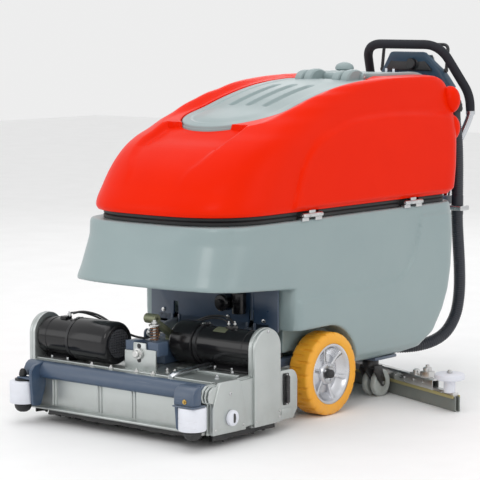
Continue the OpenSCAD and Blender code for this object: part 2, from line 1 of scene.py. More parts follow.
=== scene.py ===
# Walk-behind floor scrubber: the visual model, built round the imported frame
import math
import bpy
import numpy as np
from mathutils import Matrix, Vector


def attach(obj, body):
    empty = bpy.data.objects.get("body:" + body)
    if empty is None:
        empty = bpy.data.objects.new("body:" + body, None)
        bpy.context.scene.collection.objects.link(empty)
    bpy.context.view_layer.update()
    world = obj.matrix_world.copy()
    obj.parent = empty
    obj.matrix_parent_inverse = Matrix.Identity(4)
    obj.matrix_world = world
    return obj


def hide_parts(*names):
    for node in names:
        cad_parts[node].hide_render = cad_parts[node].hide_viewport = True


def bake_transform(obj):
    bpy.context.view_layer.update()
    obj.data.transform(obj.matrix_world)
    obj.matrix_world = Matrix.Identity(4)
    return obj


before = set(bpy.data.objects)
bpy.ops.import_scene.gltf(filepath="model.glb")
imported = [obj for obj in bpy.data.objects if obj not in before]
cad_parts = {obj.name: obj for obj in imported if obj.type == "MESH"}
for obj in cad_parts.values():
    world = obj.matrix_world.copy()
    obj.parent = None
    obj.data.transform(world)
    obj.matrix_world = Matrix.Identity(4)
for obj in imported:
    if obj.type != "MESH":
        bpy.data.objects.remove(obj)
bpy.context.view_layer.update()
scene = bpy.context.scene
mm = 0.001
tau = 2 * math.pi

# camera, floor and lights
cameraView = {"place": (4.1348, -5.2243, 1.2525), "tilt": 83.593, "turn": 39.285, "lens": 159.37}
cameraData = bpy.data.cameras.new("camera")
cameraData.sensor_width = 36
cameraData.lens = cameraView["lens"]
cameraData.clip_end = 60
camera = bpy.data.objects.new("camera", cameraData)
camera.location = cameraView["place"]
camera.rotation_euler = (math.radians(cameraView["tilt"]), 0, math.radians(cameraView["turn"]))
scene.collection.objects.link(camera)
scene.camera = camera
scene.view_settings.view_transform = "Standard"

studio = {
    "key": {"place": (2.6, -4.6, 3.6), "size": 1.8, "power": 46, "colour": (1, 0.98, 0.96)},
    "top": {"place": (-0.6, -0.4, 4.4), "size": 4.2, "power": 48, "colour": (0.97, 0.98, 1)},
    "side": {"place": (5.2, 1.4, 2.2), "size": 2.6, "power": 22, "colour": (1, 1, 1)},
    "front": {"place": (-3.2, -4.6, 1.8), "size": 2.4, "power": 20, "colour": (1, 1, 1)},
    "back": {"place": (-2.5, 4.0, 3.0), "size": 2.5, "power": 20, "colour": (1, 1, 1)},
}
for name, light in studio.items():
    data = bpy.data.lights.new("light_" + name, "AREA")
    data.size, data.energy, data.color = light["size"], light["power"], light["colour"]
    lamp = bpy.data.objects.new("light_" + name, data)
    lamp.location = light["place"]
    lamp.rotation_euler = (Vector((0, 0, 0.5)) - lamp.location).to_track_quat("-Z", "Y").to_euler()
    scene.collection.objects.link(lamp)
world = bpy.data.worlds.new("studio")
world.use_nodes = True
world.node_tree.nodes["Background"].inputs["Color"].default_value = (1, 1, 1, 1)
world.node_tree.nodes["Background"].inputs["Strength"].default_value = 0.85
scene.world = world
print("camera and lights are set")


# small modelling helpers
def at(x, y, z):
    return Vector((x * mm, y * mm, z * mm))


def span(side, a, b):  # low and high end of a stretch on one side
    return sorted((side * a, side * b))


def arcPoints(x, y, radius, start, end, count):
    return [(x + radius * math.cos(a), y + radius * math.sin(a)) for a in np.linspace(start, end, count)]


def deselect():
    if bpy.context.object and bpy.context.object.mode != "OBJECT":
        bpy.ops.object.mode_set(mode="OBJECT")
    bpy.ops.object.select_all(action="DESELECT")


def pick(obj):
    deselect()
    obj.select_set(True)
    bpy.context.view_layer.objects.active = obj
    return obj


def applied(obj, kind, **values):
    pick(obj)
    modifier = obj.modifiers.new(kind.lower(), kind)
    for key, value in values.items():
        setattr(modifier, key, value)
    bpy.ops.object.modifier_apply(modifier=modifier.name)
    return obj


def softened(obj, width, segments=2, angle=35):
    if width <= 0:
        return obj
    return applied(obj, "BEVEL", width=width * mm, segments=segments, limit_method="ANGLE",
                   angle_limit=math.radians(angle), use_clamp_overlap=True)


def settled(name):  # moves a new primitive's place into its mesh
    obj = bpy.context.object
    obj.name = name
    bpy.ops.object.transform_apply(location=True, rotation=True, scale=True)
    return obj


def box(name, low, high, bevel=0, segments=2):
    deselect()
    middle = [(a + b) / 2 * mm for a, b in zip(low, high)]
    bpy.ops.mesh.primitive_cube_add(size=1, location=middle, scale=[(b - a) * mm for a, b in zip(low, high)])
    return softened(settled(name), bevel, segments)


def bar(name, a, b, radius, sides=32, bevel=0, segments=2):
    deselect()
    a, b = at(*a), at(*b)
    bpy.ops.mesh.primitive_cylinder_add(vertices=sides, radius=radius * mm, depth=(b - a).length,
                                        location=(a + b) / 2, rotation=(b - a).to_track_quat("Z",
                                                "Y").to_euler())
    return softened(settled(name), bevel, segments)


def ball(name, centre, radius, squash=(1, 1, 1), rings=16):
    deselect()
    bpy.ops.mesh.primitive_uv_sphere_add(segments=2 * rings, ring_count=rings, radius=radius * mm,
                                         location=at(*centre), scale=squash)
    return settled(name)


def meshed(name, points, edges=(), faces=()):
    mesh = bpy.data.meshes.new(name)
    mesh.from_pydata([tuple(p) for p in points], edges, faces)
    obj = bpy.data.objects.new(name, mesh)
    scene.collection.objects.link(obj)
    return pick(obj)


def mended(obj, distance=1e-5):  # merges doubles and turns the faces outwards
    pick(obj)
    bpy.ops.object.mode_set(mode="EDIT")
    bpy.ops.mesh.select_all(action="SELECT")
    bpy.ops.mesh.remove_doubles(threshold=distance)
    bpy.ops.mesh.normals_make_consistent(inside=False)
    bpy.ops.object.mode_set(mode="OBJECT")
    return obj


def turned(name, profile, centre, axis="X", sides=48):  # profile holds (radius, distance along the axis)
    along = {"X": Vector((1, 0, 0)), "Y": Vector((0, 1, 0)), "Z": Vector((0, 0, 1))}[axis]
    outward = Vector((0, 0, 1)) if axis == "X" else Vector((1, 0, 0))
    middle = at(*centre)
    points = [middle + outward * r * mm + along * d * mm for r, d in profile]
    obj = meshed(name, points, [(i, i + 1) for i in range(len(points) - 1)])
    bpy.ops.object.mode_set(mode="EDIT")
    bpy.ops.mesh.select_all(action="SELECT")
    bpy.ops.mesh.spin(steps=sides, angle=tau, center=middle, axis=along)
    bpy.ops.object.mode_set(mode="OBJECT")
    return mended(obj)


def plate(name, outline, low, high, axis="X", bevel=0, segments=2):  # outline extruded along one axis
    place = {"X": lambda u, v: (low, u, v), "Y": lambda u, v: (u, low, v), "Z": lambda u, v: (u, v, low)}[axis]
    along = {"X": Vector((1, 0, 0)), "Y": Vector((0, 1, 0)), "Z": Vector((0, 0, 1))}[axis]
    obj = meshed(name, [at(*place(u, v)) for u, v in outline], faces=[list(range(len(outline)))])
    bpy.ops.object.mode_set(mode="EDIT")
    bpy.ops.mesh.select_all(action="SELECT")
    bpy.ops.mesh.extrude_region_move(TRANSFORM_OT_translate={"value": along * (high - low) * mm})
    bpy.ops.object.mode_set(mode="OBJECT")
    return softened(mended(obj), bevel, segments)


def cutCorners(route, times=2):
    for _ in range(times):
        new = [route[0]]
        for p, q in zip(route[:-1], route[1:]):
            new.append([0.75 * a + 0.25 * b for a, b in zip(p, q)])
            new.append([0.25 * a + 0.75 * b for a, b in zip(p, q)])
        route = new + [route[-1]]
    return route


def evenRoute(route, step):  # points every step millimetres along the route
    p = np.array(route, float)
    length = np.concatenate([[0], np.cumsum(np.linalg.norm(np.diff(p, axis=0), axis=1))])
    count = max(2, int(round(length[-1] / step)) + 1)
    s = np.linspace(0, length[-1], count)
    return np.stack([np.interp(s, length, p[:, k]) for k in range(3)], axis=1)


def tube(name, route, radius, sides=3, radii=None):
    curve = bpy.data.curves.new(name, "CURVE")
    curve.dimensions = "3D"
    curve.bevel_depth = radius * mm
    curve.bevel_resolution = sides
    curve.use_fill_caps = True
    spline = curve.splines.new("POLY")
    spline.points.add(len(route) - 1)
    for i, p in enumerate(route):
        spline.points[i].co = (*at(*p), 1)
        spline.points[i].radius = 1 if radii is None else radii[i]
    obj = bpy.data.objects.new(name, curve)
    scene.collection.objects.link(obj)
    pick(obj)
    bpy.ops.object.convert(target="MESH")
    return mended(bpy.context.object)


def joined(name, parts):
    deselect()
    for part in parts:
        part.select_set(True)
    bpy.context.view_layer.objects.active = parts[0]
    if len(parts) > 1:
        bpy.ops.object.join()
    parts[0].name = name
    return parts[0]


def copied(obj, name, move=(0, 0, 0), flip=False):
    other = bpy.data.objects.new(name, obj.data.copy())
    scene.collection.objects.link(other)
    if flip:
        other.data.transform(Matrix.Scale(-1, 4, (1, 0, 0)))
        other.data.flip_normals()
    other.data.transform(Matrix.Translation(at(*move)))
    return other


def carved(obj, cutters):
    for cutter in cutters:
        applied(obj, "BOOLEAN", operation="DIFFERENCE", object=cutter, solver="EXACT")
        bpy.data.objects.remove(cutter)
    return obj


def coords(obj):  # vertex places in millimetres
    co = np.zeros(len(obj.data.vertices) * 3)
    obj.data.vertices.foreach_get("co", co)
    return co.reshape(-1, 3) / mm


def setCoords(obj, co):
    obj.data.vertices.foreach_set("co", (co * mm).ravel())


def mirrored(obj):  # to the other side, faces still outwards
    obj.data.transform(Matrix.Scale(-1, 4, (1, 0, 0)))
    obj.data.flip_normals()
    return obj


def finished(obj, slot, body, *nodes, look=None, angle=35):
    pick(obj)
    obj.data.materials.clear()
    obj.data.materials.append(finishes[look or slot])
    bpy.ops.object.shade_smooth_by_angle(angle=math.radians(angle))
    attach(obj, body)
    if nodes:
        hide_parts(*nodes)
    return obj


def piece(name, parts, slot, body, *nodes, look=None, angle=35):
    return finished(joined(name, parts), slot, body, *nodes, look=look, angle=angle)


# shader groups shared by the finishes
def newGroup(name, inputs, outputs):
    group = bpy.data.node_groups.new(name, "ShaderNodeTree")
    for label, kind, value in inputs:
        socket = group.interface.new_socket(name=label, in_out="INPUT", socket_type=kind)
        if value is not None:
            socket.default_value = value
    for label, kind in outputs:
        group.interface.new_socket(name=label, in_out="OUTPUT", socket_type=kind)
    return group, group.nodes.new("NodeGroupInput"), group.nodes.new("NodeGroupOutput")


def math2(tree, operation, a, b=None, clamp=False):
    node = tree.nodes.new("ShaderNodeMath")
    node.operation = operation
    node.use_clamp = clamp
    for i, value in enumerate([a, b]):
        if value is None:
            continue
        if isinstance(value, (int, float)):
            node.inputs[i].default_value = value
        else:
            tree.links.new(value, node.inputs[i])
    return node.outputs[0]


def noise(tree, vector, scale, detail=3, rough=0.55, stretch=None):
    if stretch:
        mapping = tree.nodes.new("ShaderNodeMapping")
        mapping.inputs["Scale"].default_value = stretch
        tree.links.new(vector, mapping.inputs["Vector"])
        vector = mapping.outputs["Vector"]
    node = tree.nodes.new("ShaderNodeTexNoise")
    tree.links.new(vector, node.inputs["Vector"])
    if isinstance(scale, (int, float)):
        node.inputs["Scale"].default_value = scale
    else:
        tree.links.new(scale, node.inputs["Scale"])
    node.inputs["Detail"].default_value = detail
    node.inputs["Roughness"].default_value = rough
    return node.outputs["Fac"]


def spread(tree, value, low, high, outLow=0.0, outHigh=1.0):
    node = tree.nodes.new("ShaderNodeMapRange")
    tree.links.new(value, node.inputs["Value"])
    for label, number in zip(["From Min", "From Max", "To Min", "To Max"], [low, high, outLow, outHigh]):
        if isinstance(number, (int, float)):
            node.inputs[label].default_value = number
        else:
            tree.links.new(number, node.inputs[label])
    return node.outputs["Result"]


def mixed(tree, mask, a, b):
    node = tree.nodes.new("ShaderNodeMix")
    node.data_type = "RGBA"
    tree.links.new(mask, node.inputs[0])
    for socket, value in ((node.inputs[6], a), (node.inputs[7], b)):
        if isinstance(value, tuple):
            socket.default_value = (*value, 1)
        else:
            tree.links.new(value, socket)
    return node.outputs[2]


grainGroup, entry, leave = newGroup("surfaceGrain",
                                    [("Vector", "NodeSocketVector", None), ("Grain", "NodeSocketFloat", 900.0),
                                                     ("Cloud", "NodeSocketFloat", 5.0)],
                                    [("Height", "NodeSocketFloat"), ("Tone", "NodeSocketFloat")])
fine = noise(grainGroup, entry.outputs["Vector"], entry.outputs["Grain"], 2)
cloud = noise(grainGroup, entry.outputs["Vector"], entry.outputs["Cloud"], 4)
grainGroup.links.new(fine, leave.inputs["Height"])
grainGroup.links.new(spread(grainGroup, cloud, 0.3, 0.7), leave.inputs["Tone"])

scuffGroup, entry, leave = newGroup("scuffMarks", [("Vector", "NodeSocketVector", None),
        ("Amount", "NodeSocketFloat", 0.3)],
                                    [("Mask", "NodeSocketFloat")])
lines = spread(scuffGroup, noise(scuffGroup, entry.outputs["Vector"], 40, 3, 0.6, (0.35, 1.0, 6.0)), 0.6, 0.68)
patch = spread(scuffGroup, noise(scuffGroup, entry.outputs["Vector"], 3.5, 2), 0.5, 0.65)
scuffGroup.links.new(math2(scuffGroup, "MULTIPLY", math2(scuffGroup, "MULTIPLY", lines, patch),
                           entry.outputs["Amount"], True),
                     leave.inputs["Mask"])

dustGroup, entry, leave = newGroup("floorDust", [("Vector", "NodeSocketVector", None),
                                                 ("Top", "NodeSocketFloat", 0.2),
                                                 ("Amount", "NodeSocketFloat", 0.3)],
                                                 [("Mask", "NodeSocketFloat")])
split = dustGroup.nodes.new("ShaderNodeSeparateXYZ")
dustGroup.links.new(entry.outputs["Vector"], split.inputs[0])
low = spread(dustGroup, split.outputs["Z"], 0.0, entry.outputs["Top"], 1.0, 0.0)
blotch = spread(dustGroup, noise(dustGroup, entry.outputs["Vector"], 28, 5, 0.65), 0.35, 0.75)
dustGroup.links.new(math2(dustGroup, "MULTIPLY", math2(dustGroup, "MULTIPLY", low, blotch),
                          entry.outputs["Amount"], True),
                    leave.inputs["Mask"])


def finish(name, colour, tone, rough=0.4, vary=0.08, metal=0.0, grain=900, depth=0.05, stretch=None,
           scuff=0.2, scuffColour=None, dust=0.25, dustTop=0.2, coat=0.0, wear=0.0, wearColour=(0.6, 0.6, 0.6),
           specular=0.5):
    material = bpy.data.materials.new(name)
    material.use_nodes = True
    tree = material.node_tree
    shader = tree.nodes["Principled BSDF"]
    place = tree.nodes.new("ShaderNodeTexCoord").outputs["Object"]
    base = place
    if stretch:
        mapping = tree.nodes.new("ShaderNodeMapping")
        mapping.inputs["Scale"].default_value = stretch
        tree.links.new(place, mapping.inputs["Vector"])
        base = mapping.outputs["Vector"]

    def use(group, vector, **values):
        node = tree.nodes.new("ShaderNodeGroup")
        node.node_tree = group
        tree.links.new(vector, node.inputs["Vector"])
        for key, value in values.items():
            node.inputs[key].default_value = value
        return node

    surface = use(grainGroup, base, Grain=grain)
    paint = mixed(tree, surface.outputs["Tone"], colour, tone)
    marks = use(scuffGroup, place, Amount=scuff).outputs["Mask"]
    paint = mixed(tree, marks, paint, scuffColour or tuple(min(1, 0.5 * c + 0.3) for c in colour))
    if wear:  # paint rubbed off along the edges
        edge = spread(tree, tree.nodes.new("ShaderNodeNewGeometry").outputs["Pointiness"], 0.53, 0.6, 0.0, wear)
        paint = mixed(tree, edge, paint, wearColour)
    grime = use(dustGroup, place, Top=dustTop, Amount=dust).outputs["Mask"]
    paint = mixed(tree, grime, paint, (0.3, 0.28, 0.25))
    tree.links.new(paint, shader.inputs["Base Color"])
    polish = spread(tree, surface.outputs["Tone"], 0.0, 1.0, max(0.02, rough - vary), rough + vary)
    polish = math2(tree, "ADD", polish, math2(tree, "MULTIPLY", math2(tree, "ADD", marks, grime), 0.2), True)
    tree.links.new(polish, shader.inputs["Roughness"])
    shader.inputs["Metallic"].default_value = metal
    shader.inputs["Specular IOR Level"].default_value = specular
    if coat:
        shader.inputs["Coat Weight"].default_value = coat
        shader.inputs["Coat Roughness"].default_value = 0.12
    bump = tree.nodes.new("ShaderNodeBump")
    bump.inputs["Strength"].default_value = 0.6
    bump.inputs["Distance"].default_value = depth * mm
    tree.links.new(surface.outputs["Height"], bump.inputs["Height"])
    tree.links.new(bump.outputs["Normal"], shader.inputs["Normal"])
    return material


finishes = {
    "orange_shell": finish("orangeShell", (0.8, 0.017, 0.0), (0.77, 0.015, 0.0), 0.34, 0.04, grain=420,
                           depth=0.1, scuff=0, dust=0, specular=0.06),
    "grey_shell": finish("greyShell", (0.27, 0.345, 0.35), (0.255, 0.33, 0.338), 0.34, 0.05, grain=420,
                         depth=0.1, scuff=0.03, dust=0.2, dustTop=0.3, coat=0.15),
    "lid_shell": finish("lidShell", (0.29, 0.36, 0.365), (0.27, 0.34, 0.345), 0.4, 0.05, grain=500, depth=0.08,
                        scuff=0.05, dust=0),
    "navy_paint": finish("navyPaint", (0.026, 0.056, 0.11), (0.032, 0.066, 0.125), 0.36, 0.1, grain=700,
                         depth=0.12, scuff=0.15, dust=0.2, wear=0.4, wearColour=(0.25, 0.27, 0.3), coat=0.2),
    "console_plastic": finish("consolePlastic", (0.03, 0.07, 0.12), (0.035, 0.08, 0.13), 0.42, 0.06, grain=1400,
                              depth=0.1, scuff=0.2, dust=0),
    "foam_grip": finish("foamGrip", (0.012, 0.013, 0.018), (0.02, 0.021, 0.028), 0.72, 0.08, grain=1500,
                        depth=0.45, scuff=0.1, dust=0, specular=0.3),
    "bright_tube": finish("brightTube", (0.62, 0.64, 0.67), (0.55, 0.57, 0.6), 0.22, 0.08, 1.0, grain=600,
                          depth=0.02, stretch=(1, 1, 0.05), scuff=0.3, dust=0),
    "alloy_plate": finish("alloyPlate", (0.56, 0.59, 0.58), (0.47, 0.5, 0.49), 0.34, 0.1, 0.85, grain=300,
                          depth=0.06, stretch=(0.08, 1, 1), scuff=0.45, dust=0.4, dustTop=0.12),
    "zinc_steel": finish("zincSteel", (0.55, 0.56, 0.58), (0.66, 0.66, 0.64), 0.32, 0.12, 1.0, grain=240,
                         depth=0.04, scuff=0.4, dust=0.3),
    "cast_hub": finish("castHub", (0.72, 0.73, 0.75), (0.6, 0.61, 0.64), 0.24, 0.1, 1.0, grain=350, depth=0.05,
                       scuff=0.35, dust=0.2),
    "amber_tyre": finish("amberTyre", (0.9, 0.43, 0.03), (0.84, 0.37, 0.022), 0.45, 0.08, grain=500, depth=0.25,
                         scuff=0.1, scuffColour=(0.5, 0.25, 0.05), dust=0.3, dustTop=0.07),
    "black_motor": finish("blackMotor", (0.005, 0.005, 0.006), (0.01, 0.01, 0.012), 0.2, 0.06, grain=600,
                          depth=0.08, scuff=0.06, dust=0.05, dustTop=0.3, coat=0.2, specular=0.3),
    "black_rubber": finish("blackRubber", (0.008, 0.009, 0.01), (0.015, 0.016, 0.018), 0.55, 0.1, grain=700,
                           depth=0.2, scuff=0.15, dust=0.12),
    "hose_rubber": finish("hoseRubber", (0.012, 0.015, 0.024), (0.022, 0.026, 0.038), 0.45, 0.1, grain=900,
                          depth=0.1, scuff=0.2, dust=0.2),
    "cable_jacket": finish("cableJacket", (0.01, 0.01, 0.012), (0.02, 0.02, 0.022), 0.4, 0.08, grain=1200,
                           depth=0.05, scuff=0.1, dust=0.1),
    "black_plastic": finish("blackPlastic", (0.01, 0.01, 0.012), (0.02, 0.02, 0.023), 0.38, 0.08, grain=900,
                            depth=0.1, scuff=0.2, dust=0.2),
    "bristle": finish("bristle", (0.01, 0.011, 0.014), (0.025, 0.027, 0.032), 0.5, 0.1, grain=500, depth=0.2,
                      scuff=0.1, dust=0.15),
    "copper_spring": finish("copperSpring", (0.36, 0.2, 0.12), (0.26, 0.14, 0.09), 0.3, 0.08, 1.0, grain=700,
                            depth=0.03, scuff=0.3, dust=0),
    "olive_link": finish("oliveLink", (0.2, 0.22, 0.14), (0.26, 0.27, 0.18), 0.42, 0.1, 0.5, grain=500,
                         depth=0.06, scuff=0.4, dust=0),
    "white_roller": finish("whiteRoller", (0.78, 0.8, 0.86), (0.7, 0.72, 0.79), 0.4, 0.08, grain=600,
                           depth=0.08, scuff=0.3, scuffColour=(0.45, 0.45, 0.48), dust=0.2, dustTop=0.15),
    "caster_tread": finish("casterTread", (0.5, 0.53, 0.51), (0.43, 0.46, 0.44), 0.5, 0.08, grain=600,
                           depth=0.1, scuff=0.3, dust=0.5, dustTop=0.08),
    "gum_blade": finish("gumBlade", (0.15, 0.165, 0.15), (0.2, 0.215, 0.2), 0.5, 0.1, grain=500, depth=0.1,
                        scuff=0.3, dust=0.3, dustTop=0.05),
    "red_button": finish("redButton", (0.7, 0.02, 0.015), (0.62, 0.015, 0.01), 0.3, 0.05, grain=800, depth=0.05,
                         scuff=0.1, dust=0, coat=0.5),
}
finishes["brass_bolt"] = finish("brassBolt", (0.6, 0.4, 0.12), (0.5, 0.33, 0.1), 0.3, 0.1, 1.0, grain=500,
                                depth=0.03, scuff=0.3, dust=0)
finishes["grille_bar"] = finish("grilleBar", (0.06, 0.062, 0.07), (0.09, 0.092, 0.1), 0.3, 0.08, grain=900,
                                depth=0.05, scuff=0.1, dust=0)
finishes["clamp_strip"] = finish("clampStrip", (0.4, 0.36, 0.16), (0.48, 0.43, 0.2), 0.35, 0.1, 0.6, grain=400,
                                 depth=0.04, stretch=(0.2, 1, 1), scuff=0.4, dust=0.3)
finishes["floor"] = finish("studioFloor", (0.93, 0.93, 0.93), (0.9, 0.9, 0.9), 0.6, 0.05, grain=60, depth=0.1,
                           scuff=0, dust=0)
print("finishes are made")

deselect()
bpy.ops.mesh.primitive_plane_add(size=24)
floor = settled("floor")
floor.data.materials.append(finishes["floor"])

# tank forms: rows of superellipse rings, in millimetres
def bent(value, power):
    return np.sign(value) * np.abs(value) ** power


def through(x, xs, ys):  # smooth curve through points that never overshoots
    xs, ys = np.array(xs, float), np.array(ys, float)
    h = np.diff(xs)
    d = np.diff(ys) / h
    m = np.zeros(len(xs))
    same = d[:-1] * d[1:] > 0
    m[1:-1][same] = 2 * d[:-1][same] * d[1:][same] / (d[:-1][same] + d[1:][same])
    m[0], m[-1] = d[0], d[-1]
    x = np.clip(np.asarray(x, float), xs[0], xs[-1])
    i = np.clip(np.searchsorted(xs, x) - 1, 0, len(xs) - 2)
    t = (x - xs[i]) / h[i]
    return (ys[i] * (1 + 2 * t) * (1 - t) ** 2 + m[i] * h[i] * t * (1 - t) ** 2
            + ys[i + 1] * t * t * (3 - 2 * t) + m[i + 1] * h[i] * t * t * (t - 1))


def eased(value, low, high):
    t = np.clip((value - low) / (high - low), 0, 1)
    return t * t * (3 - 2 * t)


def outline(half, front, back, frontDepth, backDepth, frontPower, backPower,
            count):  # closed, from the front middle
    t = np.linspace(-np.pi / 2, 0, 1500)
    fx, fy = half * bent(np.cos(t), 2 / frontPower), front + frontDepth * (1 + bent(np.sin(t), 2 / frontPower))
    t = np.linspace(0, np.pi / 2, 1500)
    bx, by = half * bent(np.cos(t), 2 / backPower), back - backDepth * (1 - bent(np.sin(t), 2 / backPower))
    x, y = np.concatenate([fx, bx]), np.concatenate([fy, by])
    s = np.concatenate([[0], np.cumsum(np.hypot(np.diff(x), np.diff(y)))])
    at_ = np.linspace(0, s[-1], count // 2 + 1)
    x, y = np.interp(at_, s, x), np.interp(at_, s, y)
    return np.stack([np.concatenate([x, -x[-2:0:-1]]), np.concatenate([y, y[-2:0:-1]])], axis=1)


def ringed(name, loops, capStart=True, capEnd=True):  # skin over closed loops of the same count, in millimetres
    n = len(loops[0])
    points = np.concatenate(loops) * mm
    faces = [(k * n + i, k * n + (i + 1) % n, (k + 1) * n + (i + 1) % n, (k + 1) * n + i)
             for k in range(len(loops) - 1) for i in range(n)]
    if capStart:
        faces.append(list(range(n))[::-1])
    if capEnd:
        faces.append([(len(loops) - 1) * n + i for i in range(n)])
    return mended(meshed(name, points.tolist(), faces=faces), 1e-5)


def level(loop, z):
    return np.column_stack([loop, np.full(len(loop), z) if np.isscalar(z) else z])


upperTank = {
    "base": 632,
    # height above the base, half width, front, back
    "rows": [(0, 297, -615, 640), (12, 302, -619, 645), (76, 298, -589, 648), (128, 293, -555, 650),
             (180, 287, -504, 652),
             (211, 281, -455, 653), (233, 275, -404, 654), (258, 268, -354, 654), (277, 262, -306, 654),
             (300, 257, -256, 652),
             (317, 252, -207, 648), (334, 248, -156, 642), (345, 246, -102, 636), (359, 243, -50, 624),
             (368, 241, 5, 610),
             (378, 236, 108, 580), (382, 226, 180, 550)],
    "count": 420,
    "valley": (176, 224),       # half widths between which the shoulders rise
    "crease": [(-330, 560), (-295, 640), (-268, 698), (-231, 769), (-190, 812), (-132, 847), (-47, 873),
               (64, 896), (255, 906), (531, 895), (700, 880)],
    "creaseStep": 9,
    "panelDepth": [(-640, 0), (-596, 0), (-570, 4), (-520, 11), (-450, 19), (-352, 25), (-300, 26)],
    "panelOuter": [(-600, 108), (-562, 115), (-511, 148), (-446, 165), (-300, 168)],
    "panelInner": [(-600, 88), (-562, 94), (-511, 126), (-446, 141), (-300, 143)],
}
lidShape = {
    "half": 166, "front": -352, "back": 300, "thick": 16,
    "line": [(-392, 866), (-352, 880), (-260, 901), (-164, 921), (-70, 948), (0, 966), (60, 979), (120, 989),
             (200, 998), (342, 1006)],
    "grooves": {"x": (-66, 0, 66), "front": -118, "back": 92, "radius": 17, "depth": 9},
    "crown": 7,
}
rows = np.array(upperTank["rows"], float)


def lidLine(y):
    return through(y, *zip(*lidShape["line"]))


def lidOutline(grow, count):
    s = lidShape
    return outline(s["half"] + grow, s["front"] - grow, s["back"] + grow, 200 + grow, 60, 2.3, 8, count)


def rearPower(z):  # the rear corners get squarer towards the top
    return 2.7 + 4.3 * np.clip((z - upperTank["base"]) / 350, 0, 1)


def panelSink(x, y):
    u = upperTank
    aside = np.abs(x)
    return through(y, *zip(*u["panelDepth"])) * (1 - eased(aside, through(y, *zip(*u["panelInner"])),
            through(y, *zip(*u["panelOuter"]))))


def shellLevel(x, y, z):  # above 1 outside the upper tank's ring at height z
    h = z - upperTank["base"]
    half, front, back = (through(h, rows[:, 0], rows[:, k]) for k in (1, 2, 3))
    ahead = np.clip((front + 262 - y) / 262, 0, None)
    behind = np.clip((y - back + 150) / 150, 0, None)
    p = rearPower(z)
    return np.where(behind > 0, (np.abs(x) / half) ** p + behind ** p, (np.abs(x) / half) ** 2.9 + ahead ** 2.9)


def shellHeight(x, y):  # highest point of the upper tank's form over a place in plan
    low, high = np.full(len(x), 632.0), np.full(len(x), 1014.0)
    for _ in range(34):
        middle = (low + high) / 2
        outside = shellLevel(x, y, middle) > 1
        high = np.where(outside, middle, high)
        low = np.where(outside, low, middle)
    return low


def hoodHeight(x, y):  # the form with the lid's valley, the front panel and the hinge pocket sunk in
    z = shellHeight(x, y)
    aside = np.abs(x)
    z = z - np.where(y < -330, panelSink(x, y), 0)
    inValley = (1 - eased(aside, *upperTank["valley"])) * eased(y, -372, -346) * (1 - eased(y, 300, 350))
    z = np.where(aside < 240, z + inValley * (np.minimum(lidLine(y) + 1.5, z) - z), z)
    pocket = (1 - eased(aside, 122, 132)) * eased(y, 262, 275) * (1 - eased(y, 340, 352))
    return z - pocket * np.clip(z - 986, 0, None)


def makeUpperTank():
    u = upperTank
    n = u["count"]
    loops = []

    def ringAt(z):
        h = z - u["base"]
        half, front, back = (float(through(h, rows[:, 0], rows[:, k])) for k in (1, 2, 3))
        ring = outline(half, front, back, 262, 150, 2.9, float(rearPower(z)), n)
        lean = float(through(h + 6, rows[:, 0], rows[:, 2]) - through(h - 6, rows[:, 0], rows[:, 2])) / 12
        sunk = np.where(ring[:, 1] < -330, panelSink(ring[:, 0], ring[:, 1]), 0)
        ring[:, 1] += sunk * max(lean, 0.3)
        return ring

    base = ringAt(632)
    middle = np.array([0, 20.0])
    for inward, z in ((0.35, 634), (0.06, 634), (0.012, 633)):
        loops.append(level(base + (middle - base) * inward, z))
    for z in np.concatenate([[632.5, 634], np.linspace(637, 820, 42)]):
        loops.append(level(ringAt(z), z))
    outer, inner = ringAt(820), lidOutline(5, n)
    for t in np.linspace(0, 1, 84)[1:]:
        plan = outer + (inner - outer) * t
        loops.append(level(plan, hoodHeight(plan[:, 0], plan[:, 1])))
    # recess for the lid, the floor round the mouth, and the inside of the tank
    edge = loops[-1]
    for grow, drop in ((3.8, 1), (3.2, 3), (3, 6)):
        plan = lidOutline(grow, n)
        loops.append(level(plan, edge[:, 2] - drop))
    floorZ = np.minimum(lidLine(inner[:, 1]) - lidShape["thick"] - 1, edge[:, 2] - 8)
    loops.append(level(lidOutline(3, n), floorZ + 2))
    loops.append(level(lidOutline(1, n), floorZ))
    mouth = outline(132, -290, 265, 60, 40, 6, 6, n)
    mouthZ = lidLine(mouth[:, 1]) - lidShape["thick"] - 1
    for grow, drop in ((1, 0), (0.985, 3), (0.985, 40)):
        loops.append(level(mouth * [grow, 1], mouthZ - drop))
    for z in (840, 700, 668):
        loops.append(level(mouth * 0.97, z))
    loops.append(level(mouth * 0.9, 660))
    # raised lower rear part of the sides
    for k, loop in enumerate(loops[3:128]):
        x, y, z = loop[:, 0], loop[:, 1], loop[:, 2]
        edgeZ = through(y, *zip(*u["crease"]))
        push = u["creaseStep"] * eased(edgeZ - z, -4, 16) * eased(z, 636, 650) * eased(np.abs(x), 215,
                240) * (1 - eased(y, 560, 640))
        loop[:, 0] = x + np.sign(x) * push
    obj = ringed("upperTankShell", loops)
    return obj


tank = makeUpperTank()
finished(tank, "orange_shell", "upper_tank", "upper_tank", angle=42)
lobes = []
for side in (-1, 1):
    for z in (840, 932):
        rib = ball("lobe", (0, 0, 0), 36, (1, 0.92, 1.25), 20)
        rib.data.transform(Matrix.Translation(at(side * 247, 618,
                                                 z)) @ Matrix.Rotation(math.radians(-30 * side), 4, "Z"))
        lobes.append(rib)
piece("cornerLobes", lobes, "orange_shell", "upper_tank")
print("upper tank is made")


